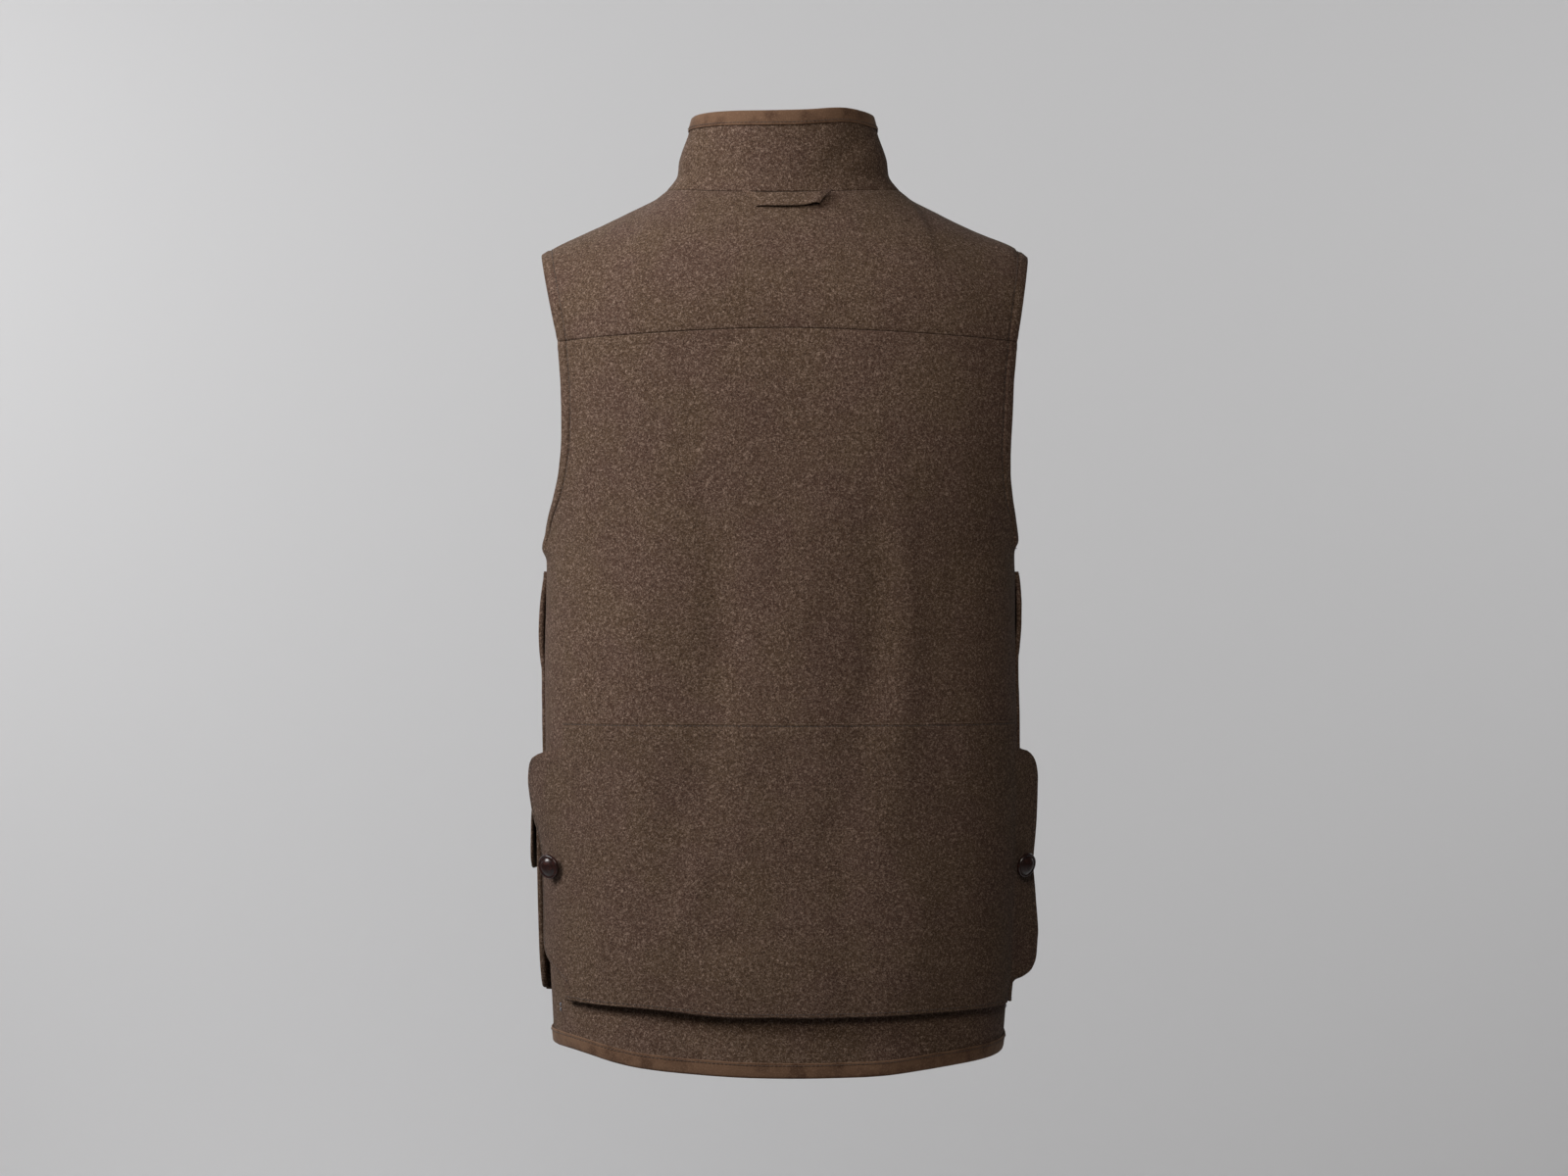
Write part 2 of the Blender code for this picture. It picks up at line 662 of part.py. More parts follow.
def make_back(wool):
    halves = {}
    for side in (1, -1):
        rows = [body_row(row, side, 0.0, i == 0) for i, row in enumerate(seam_rows())]
        rows += [body_row(row, side, 0.0, False) for row in BACK_ARMHOLE]
        halves[side] = rows
    rows = [mirrored_pair(halves[1][i], halves[-1][i]) for i in range(len(halves[1]))]
    edge = hem_edge(rows)
    cloth_wall("back_panel", wool, trimmed(rows, SEAM_GAP / 2.0), CLOTH)
    halves = {side: upper_rows(side, 0.0, BACK_ARMHOLE[-1], 0) for side in (1, -1)}
    rows = [mirrored_pair(halves[1][i], halves[-1][i]) for i in range(len(halves[1]))]
    cloth_wall("back_yoke", wool, trimmed(rows, SEAM_GAP / 2.0), CLOTH)
    return edge


def make_front(name, side, wool):
    """Front panel from past the centre front to the side seam, armhole and shoulder."""
    rows = [body_row(row, side, FRONT_EDGE_ANGLE, i == 0) for i, row in enumerate(seam_rows())]
    rows += [body_row(row, side, FRONT_EDGE_ANGLE, False) for row in FRONT_ARMHOLE]
    rows += upper_rows(side, FRONT_EDGE_ANGLE, FRONT_ARMHOLE[-1], 1)
    edge = hem_edge(rows)
    cloth_wall(name, wool, trimmed(rows, SEAM_GAP / 2.0), CLOTH)
    return edge


def collar_angles():
    """Angles round the collar from the right end, under, to the left end: those of the neck seam."""
    shares = [i / CENTRE_COLUMNS for i in range(CENTRE_COLUMNS + 1)]
    left = [neck_angle(share, 1, 0.0) for share in shares]
    left += [neck_angle(share, 1, FRONT_EDGE_ANGLE) for share in reversed(shares[:-1])]
    return [-angle for angle in reversed(left[1:])] + left


def collar_raise(angle):
    if math.cos(angle) > 0:
        return 0.0
    side = 1 if angle > 0 else -1
    return overlap_rise(side * neck_point(angle).x, side)


def make_collar(wool, suede):
    angles = collar_angles()
    rows, frames = [], []
    for row in COLLAR_ROWS:
        points = []
        for angle in angles:
            point = collar_point(angle, row.height_share)
            normal = outward(collar_point, angle, min(max(row.height_share, 0.01), 0.99), point)
            points.append((point + OVERLAP_FORWARD * collar_raise(angle), normal))
        rows.append(points)
    for column in range(len(angles)):
        top, normal = rows[-1][column]
        below = rows[-2][column][0]
        frames.append((top, normal, (top - below).normalized()))
    cloth_wall("collar", wool, trimmed(rows, SEAM_GAP / 2.0), CLOTH)
    swept_binding("collar_binding", suede, frames)


def make_hem_binding(suede, right_edge, back_edge, left_edge):
    """One strip round the whole hem, from the right front edge to the left one over it."""
    edge = right_edge + back_edge[1:] + list(reversed(left_edge))[1:]
    frames = [(point, normal, (point - above).normalized()) for point, normal, above in edge]
    swept_binding("hem_binding", suede, frames)


def game_pocket_angles(row):
    """Angles across the pocket row with how far each lies out along its wing."""
    columns = []
    for i in range(WING_COLUMNS, 0, -1):
        q = i / WING_COLUMNS
        columns.append((-GAME_POCKET_RIGHT_ROOT - (row.right_edge - GAME_POCKET_RIGHT_ROOT) * q, -q))
    span = GAME_POCKET_LEFT_ROOT + GAME_POCKET_RIGHT_ROOT
    for i in range(GAME_POCKET_CENTRE_COLUMNS + 1):
        columns.append((-GAME_POCKET_RIGHT_ROOT + span * i / GAME_POCKET_CENTRE_COLUMNS, 0.0))
    for i in range(1, WING_COLUMNS + 1):
        q = i / WING_COLUMNS
        columns.append((GAME_POCKET_LEFT_ROOT + (row.left_edge - GAME_POCKET_LEFT_ROOT) * q, q))
    return columns


def game_pocket_out(row, degrees, q):
    root = GAME_POCKET_LEFT_ROOT if degrees > 0 else GAME_POCKET_RIGHT_ROOT
    edge_out = row.left_out if degrees > 0 else row.right_out
    centre = 1.0 - min(abs(degrees) / root, 1.0) ** 4
    wing = (edge_out - row.root) * abs(q) ** WING_CURL
    return row.root + (row.stand - row.root) * centre + wing


def game_pocket_height(height, degrees):
    """The lower edge sags at the centre back and rises towards both ends."""
    root = GAME_POCKET_LEFT_ROOT if degrees > 0 else GAME_POCKET_RIGHT_ROOT
    low = smooth_step((POCKET_RISE_TOP - height) / POCKET_RISE_REACH)
    return height + POCKET_END_RISE * low * ((degrees / root) ** 2 - POCKET_LEVEL_SHARE)


def make_game_pocket(wool):
    points = []
    for row in GAME_POCKET_ROWS:
        points.append([
            body_raised(
                math.radians(degrees),
                game_pocket_height(row.height, degrees),
                game_pocket_out(row, degrees, q),
            )
            for degrees, q in game_pocket_angles(row)
        ])
    cloth_wall("game_pocket", wool, facing_out(grid_normals(points)), CLOTH)


def facing_out(rows):
    """Turns all normals over when the middle one points to the body's axis."""
    point, normal = rows[len(rows) // 2][len(rows[0]) // 2]
    if normal.x * point.x + normal.y * point.y > 0:
        return rows
    return [[(p, -n) for p, n in row] for row in rows]


def make_hand_pocket(name, side, wool):
    points = []
    for i in range(HAND_POCKET_ROWS + 1):
        height = HAND_POCKET_TOP + (HAND_POCKET_FOOT - HAND_POCKET_TOP) * i / HAND_POCKET_ROWS
        bow = max(1.0 - ((height - HAND_POCKET_GAPE_HEIGHT) / HAND_POCKET_GAPE_REACH) ** 2, 0.0)
        row = []
        for j in range(HAND_POCKET_COLUMNS + 1):
            q = j / HAND_POCKET_COLUMNS
            degrees = HAND_POCKET_REAR + (HAND_POCKET_FORE - HAND_POCKET_REAR) * q
            out = LAID_ON + HAND_POCKET_GAPE * bow * (1.0 - q) ** 2
            row.append(body_raised(side * math.radians(degrees), height, out))
        points.append(row)
    cloth_wall(name, wool, facing_out(grid_normals(points)), CLOTH)


def make_bellows_pocket(name, side, wool):
    """A shallow tray of cloth, its rear, fore and lower walls turned in to the front panel."""
    points = []
    for tier in BELLOWS_ROWS:
        rear = BELLOWS_REAR + tier.rear_round
        fore = BELLOWS_FORE - tier.rear_round
        row = [(rear, BELLOWS_TURN_IN)]
        for j in range(BELLOWS_COLUMNS + 1):
            q = j / BELLOWS_COLUMNS
            start, end = rear + BELLOWS_WALL_ANGLE, fore - BELLOWS_WALL_ANGLE
            row.append((start + (end - start) * q, tier.stand_share))
        row.append((fore, BELLOWS_TURN_IN))
        points.append([
            body_raised(
                side * math.radians(degrees), tier.height, BELLOWS_STAND * min(share, tier.stand_share)
            )
            for degrees, share in row
        ])
    cloth_wall(name, wool, facing_out(grid_normals(points)), CLOTH)


def make_flap(name, side, wool):
    points = []
    for tier in FLAP_ROWS:
        row = []
        rear, fore = FLAP_REAR + tier.corner_round, FLAP_FORE - tier.corner_round
        for j in range(FLAP_COLUMNS + 1):
            q = j / FLAP_COLUMNS
            out = tier.out + tier.rear_flare * (1.0 - q) ** 4
            row.append(body_raised(side * math.radians(rear + (fore - rear) * q), tier.height, out))
        points.append(row)
    cloth_wall(name, wool, facing_out(grid_normals(points)), CLOTH)


def make_hanging_loop(wool):
    """A short tape with both ends in the collar seam, lying down over the yoke."""
    row = BACK_ARMHOLE[-1]

    def yoke(x, rise):
        side = 1 if x >= 0 else -1
        edge = angle_at_depth(row.edge_depth, row.edge_height, side)

        def foot(share):
            part = chest_share(share)
            height = row.centre_height + (row.edge_height - row.centre_height) * part ** 2
            return body_point(edge * part, height)

        share = math.asin(min(abs(x) / NECK_HALF_WIDTH, 1.0)) / (math.pi / 2.0)
        return upper_point(share, rise, side, foot, 0.0)

    def below_seam(x, distance):
        """Point of the yoke at a distance down from the neck seam."""
        rise, point, gone = 1.0, yoke(x, 1.0), 0.0
        while gone < distance:
            rise -= 0.0005
            nearer = yoke(x, rise)
            gone += (nearer - point).length
            point = nearer
        return point, outward(yoke, x, rise - 0.01, point)

    points = []
    for t in range(LOOP_TIERS + 1):
        down = t / LOOP_TIERS
        half = (LOOP_TOP_WIDTH + (LOOP_LOWER_WIDTH - LOOP_TOP_WIDTH) * down) / 2.0
        line = []
        for c in range(LOOP_COLUMNS + 1):
            across = 2.0 * c / LOOP_COLUMNS - 1.0
            middle = smooth_step((1.0 - abs(across)) / 0.3)
            distance = LOOP_BELOW_SEAM + LOOP_SLIT * middle * (1.0 - down)
            distance += (LOOP_DEPTH - LOOP_BELOW_SEAM) * down
            point, normal = below_seam(LOOP_CENTRE + half * across, distance)
            line.append(point + normal * (LOOP_CLOTH + SEAM_GAP + LOOP_STAND * middle))
        points.append(line)
    cloth_wall("hanging_loop", wool, facing_out(grid_normals(points)), LOOP_CLOTH)


def make_button(name, point, axis, horn, shank):
    """A turned button on an axis; the shank is what its foot has beyond the profile's."""
    verts, faces = [], []
    profile = [ButtonRing(radius, rise + shank * (rise > 0.0)) for radius, rise in BUTTON_PROFILE]
    rings = profile[1:-1]
    for radius, rise in rings:
        for i in range(BUTTON_SIDES):
            turn = 2.0 * math.pi * i / BUTTON_SIDES
            verts.append(Vector((radius * math.cos(turn), radius * math.sin(turn), rise)))
    for r in range(len(rings) - 1):
        for i in range(BUTTON_SIDES):
            k = (i + 1) % BUTTON_SIDES
            a, b = r * BUTTON_SIDES, (r + 1) * BUTTON_SIDES
            faces.append([a + i, a + k, b + k, b + i])
    foot, crown = len(verts), len(verts) + 1
    verts += [Vector((0.0, 0.0, profile[i].rise)) for i in (0, -1)]
    last = (len(rings) - 1) * BUTTON_SIDES
    for i in range(BUTTON_SIDES):
        k = (i + 1) % BUTTON_SIDES
        faces.append([foot, k, i])
        faces.append([crown, last + i, last + k])
    item = finish(name, horn, verts, faces, 40.0)
    item.rotation_mode = "QUATERNION"
    item.rotation_quaternion = axis.to_track_quat("Z", "Y")
    item.location = point


def make_buttons(horn):
    for i in range(FRONT_BUTTON_COUNT):
        height = FRONT_BUTTON_TOP - FRONT_BUTTON_STEP * i
        point = body_point(math.pi, height)
        normal = outward(body_point, math.pi, height, point)
        point += OVERLAP_FORWARD * OVERLAP_STEP / 2.0 + normal * SEAM_GAP
        make_button(f"front_button_{i + 1}", point, normal, horn, 0.0)
    point = collar_point(math.pi, 0.5)
    normal = outward(collar_point, math.pi, 0.5, point)
    point += OVERLAP_FORWARD * OVERLAP_STEP / 2.0 + normal * SEAM_GAP
    make_button("collar_button", point, normal, horn, 0.0)
    for button in WING_BUTTONS:
        point, normal = on_game_pocket(button.degrees, WING_BUTTON_HEIGHT)
        axis = (normal + Vector((0.0, button.rearward, -button.droop))).normalized()
        foot_lift = BUTTON_PROFILE[1].radius * axis.cross(normal).length
        point += normal * (SEAM_GAP + foot_lift)
        make_button(button.name, point, axis, horn, WING_BUTTON_SHANK)


def on_game_pocket(degrees, height):
    """Point and normal of the game pocket's outer face at an angle and height."""
    def surface(turn, level):
        row = PocketRow(level, *(
            table_value(GAME_POCKET_ROWS[:GAME_POCKET_OUTER_ROWS], "height", level, column)
            for column in PocketRow._fields[1:]
        ))
        root, edge = GAME_POCKET_LEFT_ROOT, row.left_edge
        if turn < 0:
            root, edge = GAME_POCKET_RIGHT_ROOT, row.right_edge
        q = min(max((abs(turn) - root) / (edge - root), 0.0), 1.0)
        return body_raised(math.radians(turn), level, game_pocket_out(row, turn, q))

    point = surface(degrees, height)
    along = surface(degrees + 1.0, height) - surface(degrees - 1.0, height)
    up = surface(degrees, height + 0.004) - surface(degrees, height - 0.004)
    normal = along.cross(up).normalized()
    if normal.dot(Vector((point.x, point.y, 0.0))) < 0:
        normal = -normal
    return point, normal


def main():
    clear_scene()
    wool, suede, horn = make_material(WOOL), make_material(SUEDE), make_material(HORN)
    back_edge = make_back(wool)
    left_edge = make_front("front_left", 1, wool)
    right_edge = make_front("front_right", -1, wool)
    make_collar(wool, suede)
    make_hem_binding(suede, right_edge, back_edge, left_edge)
    make_game_pocket(wool)
    for word, side in (("left", 1), ("right", -1)):
        make_hand_pocket(f"hand_pocket_{word}", side, wool)
        make_bellows_pocket(f"bellows_pocket_{word}", side, wool)
        make_flap(f"pocket_flap_{word}", side, wool)
    make_hanging_loop(wool)
    make_buttons(horn)


main()
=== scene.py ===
import math
import re

import bpy
import numpy as np
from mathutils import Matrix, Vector, noise


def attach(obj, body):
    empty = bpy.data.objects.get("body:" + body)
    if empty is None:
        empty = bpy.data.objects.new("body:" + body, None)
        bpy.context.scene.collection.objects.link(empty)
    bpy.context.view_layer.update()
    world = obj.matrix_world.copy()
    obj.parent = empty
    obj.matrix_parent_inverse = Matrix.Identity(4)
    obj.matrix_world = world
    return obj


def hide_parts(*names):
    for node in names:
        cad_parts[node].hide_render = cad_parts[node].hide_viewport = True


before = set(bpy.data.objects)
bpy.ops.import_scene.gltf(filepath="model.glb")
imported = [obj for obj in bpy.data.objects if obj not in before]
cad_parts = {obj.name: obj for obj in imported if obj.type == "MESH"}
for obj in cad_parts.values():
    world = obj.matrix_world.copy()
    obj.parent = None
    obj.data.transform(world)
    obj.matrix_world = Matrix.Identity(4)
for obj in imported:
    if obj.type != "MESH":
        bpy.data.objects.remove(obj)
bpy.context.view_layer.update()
print("Frame loaded:", len(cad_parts), "solids")

cloth = {
    "thickness": 0.0020,
    "step": 0.0024,          # distance between mesh rows
    "edgeRoll": 0.00094,     # radius of a cut or folded edge
    "seamRoll": 0.00060,     # radius where two pieces are sewn edge to edge
    "seamSink": 0.00045,     # a sewn edge lies this much lower
    "foldRise": 0.00030,     # a turned-in edge lies this much higher
    "bindingCloth": 0.0010,
    "seamGap": 0.0003,
    "laidGap": 0.0007,
    "edgeMarks": [0.0, 0.00012, 0.0004, 0.0009, 0.0016, 0.0026, 0.0040],
    "stitchMarks": (-0.0016, -0.0010, -0.0005, 0.0, 0.0005, 0.0010, 0.0016),
    # rise, size and shift of the slow swellings in every piece
    "swellings": [(0.00032, 0.034, 3.7), (0.00014, 0.011, 8.1)],
}
laidOn = cloth["thickness"] + cloth["laidGap"]
made = {}     # outer face, normals and edge distances of every cloth piece


# small helpers on number arrays

def smoothStep(value):
    value = np.clip(value, 0.0, 1.0)
    return value * value * (3.0 - 2.0 * value)


def hermite(values, slope, width, i, t):
    start = (1 + 2 * t) * (1 - t) ** 2 * values[i] + t * (1 - t) ** 2 * width * slope[i]
    return start + t * t * (3 - 2 * t) * values[i + 1] + t * t * (t - 1) * width * slope[i + 1]


def curveThrough(places, values, at):
    places, values = np.array(places, float), np.array(values, float)
    if places[0] > places[-1]:
        places, values = places[::-1], values[::-1]
    at = np.clip(at, places[0], places[-1])
    i = np.clip(np.searchsorted(places, at, side="left") - 1, 0, len(places) - 2)
    ends = np.diff(values)[[0, -1]] / np.diff(places)[[0, -1]]
    slope = np.empty_like(values)
    slope[1:-1] = (values[2:] - values[:-2]) / (places[2:] - places[:-2])
    slope[[0, -1]] = ends
    width = places[i + 1] - places[i]
    return hermite(values, slope, width, i, (at - places[i]) / width)


def steadyCurve(values, at):
    # through evenly numbered rows without swinging past them
    step = np.diff(values)
    same = step[1:] * step[:-1] > 0
    inner = np.where(same, 2.0 * step[1:] * step[:-1], 0.0) / np.where(same, step[1:] + step[:-1], 1.0)
    slope = np.concatenate([step[:1], inner, step[-1:]])
    i = np.clip(np.floor(at).astype(int), 0, len(values) - 2)
    return hermite(values, slope, 1.0, i, at - i)


def unit(vectors):
    return vectors / np.maximum(np.linalg.norm(vectors, axis=-1, keepdims=True), 1e-12)


def stacked(x, y, z):
    return np.stack(np.broadcast_arrays(x, y, z), axis=-1).astype(float)


def unevenness(points, size, shift):
    # slow random swelling of the cloth, about -1 to 1
    flat = (points.reshape(-1, 3) / size + shift).tolist()
    return np.array([noise.noise(Vector(p)) for p in flat]).reshape(points.shape[:-1])


def bump(value):
    # a soft hill, 1 at its middle
    return np.exp(-(value ** 2))


def lengthAlong(points):
    return np.concatenate([[0.0], np.cumsum(np.linalg.norm(np.diff(points, axis=0), axis=1))])


def placedAlong(at, length, values):
    return np.stack([np.interp(at, length, values[:, k]) for k in range(3)], axis=-1)


# the body form: an angle round the body (0 centre back, 90 degrees at the wearer's left,
# 180 centre front) and a height give a point on the cloth

bodyForm = {
    "roundness": 2.4,
    # height, left half width, right half width, back depth, front depth
    "rings": [
        (-0.100, 0.2100, 0.2180, 0.110, 0.106),
        (-0.150, 0.2095, 0.2175, 0.115, 0.113),
        (-0.200, 0.2080, 0.2150, 0.117, 0.118),
        (-0.250, 0.2030, 0.2045, 0.117, 0.121),
        (-0.290, 0.1995, 0.1960, 0.116, 0.122),
        (-0.330, 0.2000, 0.1960, 0.114, 0.122),
        (-0.400, 0.2015, 0.1965, 0.111, 0.122),
        (-0.452, 0.2010, 0.1975, 0.111, 0.123),
        (-0.560, 0.1995, 0.1970, 0.115, 0.126),
        (-0.640, 0.1975, 0.1930, 0.119, 0.127),
        (-0.690, 0.1945, 0.1880, 0.120, 0.126),
        (-0.740, 0.1930, 0.1840, 0.120, 0.125),
    ],
    # angle, half width, depth, top, bottom of the soft vertical hollows
    "folds": [
        (36.0, 11.0, 0.0028, -0.34, -0.80),
        (-26.0, 9.0, 0.0018, -0.42, -0.80),
        (-54.0, 11.0, 0.0026, -0.24, -0.80),
        (128.0, 11.0, 0.0024, -0.26, -0.80),
        (-124.0, 11.0, 0.0026, -0.26, -0.80),
        (158.0, 9.0, 0.0016, -0.34, -0.80),
        (-154.0, 9.0, 0.0018, -0.30, -0.80),
    ],
    "foldFade": 0.09,
    "hemSide": -0.7180,
    # angle and height of the hem's fold, dropped to a tail at the back
    "hemLine": [
        (-180.0, -0.7180), (-120.0, -0.7205), (-90.0, -0.7222), (-74.5, -0.7253),
        (-62.5, -0.7278), (-49.0, -0.7314), (-36.0, -0.7346), (-20.0, -0.7357),
        (0.0, -0.7359), (16.0, -0.7352), (35.0, -0.7329), (48.0, -0.7298),
        (56.0, -0.7260), (64.0, -0.7208), (71.0, -0.7180), (80.0, -0.7172),
        (95.0, -0.7178), (120.0, -0.7180), (180.0, -0.7180),
    ],
    "underarm": -0.303,
    "seamBackUnderarm": 0.018,
    "seamBackHem": 0.040,
}

# soft creases: side of the body (1 back, -1 front), x and height of both ends,
# half width, depth (negative stands out as a ridge)
creases = [
    (1, 0.118, -0.250, 0.114, -0.480, 0.019, -0.0024),
    (1, 0.120, -0.480, 0.130, -0.640, 0.015, -0.0018),
    (1, 0.064, -0.235, 0.060, -0.510, 0.019, 0.0042),
    (1, -0.022, -0.250, -0.028, -0.480, 0.028, -0.0030),
    (1, -0.070, -0.260, -0.074, -0.480, 0.015, 0.0032),
    (1, -0.098, -0.250, -0.096, -0.490, 0.013, -0.0020),
    (1, 0.112, -0.168, 0.046, -0.186, 0.0045, 0.0007),
    (1, 0.078, -0.192, 0.074, -0.226, 0.016, 0.0011),
    (1, 0.062, -0.548, 0.092, -0.626, 0.012, -0.0024),
    (1, 0.047, -0.585, 0.052, -0.640, 0.017, 0.0020),
    (1, -0.030, -0.520, -0.058, -0.600, 0.015, 0.0014),
    (1, -0.118, -0.560, -0.098, -0.650, 0.013, -0.0014),
    (1, 0.172, -0.300, 0.140, -0.352, 0.009, 0.0010),
    (1, -0.170, -0.296, -0.138, -0.350, 0.009, 0.0011),
    (1, 0.150, -0.690, 0.120, -0.715, 0.012, 0.0007),
    (1, -0.060, -0.688, -0.070, -0.726, 0.014, 0.0007),
    (-1, 0.122, -0.250, 0.118, -0.470, 0.017, -0.0024),
    (-1, -0.118, -0.255, -0.124, -0.480, 0.017, -0.0025),
    (-1, 0.080, -0.262, 0.086, -0.500, 0.017, 0.0032),
    (-1, -0.070, -0.250, -0.082, -0.470, 0.017, 0.0034),
    (-1, 0.168, -0.302, 0.130, -0.350, 0.010, 0.0011),
    (-1, -0.166, -0.300, -0.128, -0.356, 0.010, 0.0010),
    (-1, 0.045, -0.330, 0.060, -0.380, 0.010, 0.0007),
    (-1, -0.040, -0.440, -0.062, -0.500, 0.011, 0.0008),
]


def ringSize(angle, height):
    rings = np.array(bodyForm["rings"])
    sizes = [curveThrough(rings[:, 0], rings[:, k], height) for k in (1, 2, 3, 4)]
    half = np.where(np.sin(angle) >= 0, sizes[0], sizes[1])
    depth = np.where(np.cos(angle) >= 0, sizes[2], sizes[3])
    return half, depth


def foldDepth(angle, height):
    total = 0.0
    for middle, spreadOut, depth, top, bottom in bodyForm["folds"]:
        turn = (np.degrees(angle) - middle + 180.0) % 360.0 - 180.0
        fade = smoothStep((top - height) / bodyForm["foldFade"])
        fade = fade * smoothStep((height - bottom) / bodyForm["foldFade"])
        total = total + depth * fade * bump(turn / spreadOut)
    return total


def creaseDepth(x, z, back):
    total = np.zeros(np.broadcast(x, z, back).shape)
    for side, x0, z0, x1, z1, spreadOut, depth in creases:
        dx, dz = x1 - x0, z1 - z0
        length = math.hypot(dx, dz)
        along = ((x - x0) * dx + (z - z0) * dz) / length ** 2
        off = ((x - x0) * dz - (z - z0) * dx) / length
        off = off + spreadOut * 0.5 * np.sin(along * 4.1 + x0 * 40.0)     # a crease is never straight
        taper = bump(np.clip(np.abs(along - 0.5) - 0.30, 0.0, None) / 0.22)
        uneven = 0.75 + 0.25 * np.sin(along * 7.0 + z0 * 60.0)
        total = total + depth * uneven * taper * (back * side > 0) * bump(off / spreadOut)
    return total


def bodyPoint(angle, height):
    angle, height = np.broadcast_arrays(angle, height)
    half, depth = ringSize(angle, height)
    n = bodyForm["roundness"]
    reach = (np.abs(np.sin(angle) / half) ** n + np.abs(np.cos(angle) / depth) ** n) ** (-1.0 / n)
    reach = reach - foldDepth(angle, height)
    reach = reach - creaseDepth(reach * np.sin(angle), height, np.cos(angle))
    return stacked(reach * np.sin(angle), reach * np.cos(angle), height)


def bodyNormal(angle, height):
    step = 0.004
    along = bodyPoint(angle + step, height) - bodyPoint(angle - step, height)
    up = bodyPoint(angle, height + step) - bodyPoint(angle, height - step)
    return -unit(np.cross(along, up))


def bodyRaised(angle, height, out):
    normal = bodyNormal(angle, height)
    return bodyPoint(angle, height) + normal * np.broadcast_to(out, normal.shape[:-1])[..., None]


def angleAtDepth(depthAt, height, side):
    half, depth = ringSize(side * np.where(depthAt >= 0, 1.0, 2.0), height)
    n = bodyForm["roundness"]
    width = half * (1.0 - (np.abs(depthAt) / depth) ** n) ** (1.0 / n)
    return side * np.arctan2(width, depthAt)


def hemHeight(angle):
    degrees = (np.degrees(angle) + 180.0) % 360.0 - 180.0
    return curveThrough(*zip(*bodyForm["hemLine"]), degrees)


# mesh grids: marks along an edge, distances from the edges, normals, walls

def oddCount(marks, i):
    # the inner face of a wall takes every second row, so their number has to be odd
    if len(marks) % 2 == 0:
        marks.insert(i, (marks[i - 1] + marks[i]) / 2.0)
    return np.array(marks)


def spread(length, step, first=True, last=True, at=()):
    # shares 0 to 1 along a length, closer together at its ends and beside a stitch line
    marks = list(np.linspace(0.0, length, max(int(round(length / step)), 2) + 1))
    marks += cloth["edgeMarks"] * first
    marks += [length - m for m in cloth["edgeMarks"]] * last
    marks += [place + m for place in at for m in cloth["stitchMarks"]]
    marks = sorted(m for m in marks if 0.0 <= m <= length)
    kept = marks[:1]
    for mark in marks[1:]:
        if mark - kept[-1] > 0.0001:
            kept.append(mark)
    kept[-1] = length
    return oddCount(kept, int(np.argmax(np.diff(kept))) + 1) / length


def edgeDistances(grid):
    # along the cloth from the left, right, low and high edge
    found = []
    for axis in (1, 0):
        steps = np.linalg.norm(np.diff(grid, axis=axis), axis=2)
        gone = np.insert(np.cumsum(steps, axis=axis), 0, 0.0, axis=axis)
        found += [gone, gone.take([-1], axis) - gone]
    return found


def gridNormals(grid, outside):
    normals = unit(np.cross(np.gradient(grid, axis=1), np.gradient(grid, axis=0)))
    return normals if np.sum(normals * outside) >= 0 else -normals


def fromCore(grid):
    core = stacked(0.0, 0.0, np.minimum(grid[..., 2], -0.16))
    return unit(grid - core)


def rolled(distance, radius):
    # how far a rounded edge falls back from the flat of the cloth
    t = np.clip(1.0 - distance / radius, 0.0, 1.0)
    return radius * (1.0 - np.sqrt(1.0 - t * t))


def sideRoll(openArm):
    # full roll along the armhole, a small one along the side seam
    return cloth["seamRoll"] + (cloth["edgeRoll"] - cloth["seamRoll"]) * openArm


def groove(distance, at, depth, width=0.0011):
    return depth * bump((distance - at) / width)


def placed(name, data):
    item = bpy.data.objects.new(name, data)
    bpy.context.scene.collection.objects.link(item)
    return item


def newMesh(name, verts, faces, material):
    mesh = bpy.data.meshes.new(name)
    mesh.from_pydata(verts, [], faces)
    mesh.materials.append(material)
    mesh.shade_smooth()
    return placed(name, mesh)


def solidOf(name):
    # frontButton1 is the finer form of front_button_1
    return "collar" if name == "standCollar" else re.sub("([A-Z0-9])", r"_\1", name).lower()


def addPiece(name, verts, faces, material, slotName="wool", hasSolid=False):
    item = newMesh(name, verts.reshape(-1, 3).tolist(), faces, material)
    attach(item, "root")
    if hasSolid:
        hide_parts(solidOf(name))


def circle(sides):
    turn = 2.0 * math.pi * np.arange(sides) / sides
    return np.cos(turn)[:, None], np.sin(turn)[:, None]


def tubeFaces(rings, sides, base=0):
    # quads between closed rings of points, and one face over each end
    faces = []
    for first in range(base, base + (rings - 1) * sides, sides):
        for k in range(sides):
            a, b = first + k, first + (k + 1) % sides
            faces.append((a, b, b + sides, a + sides))
    last = base + (rings - 1) * sides
    return faces + [tuple(range(base + sides - 1, base - 1, -1)), tuple(range(last, last + sides))]


def tube(name, rings, material, slotName="wool", hasSolid=False):
    # a closed body through rings, an array of ring, side and place
    addPiece(name, rings, tubeFaces(*rings.shape[:2]), material, slotName, hasSolid)


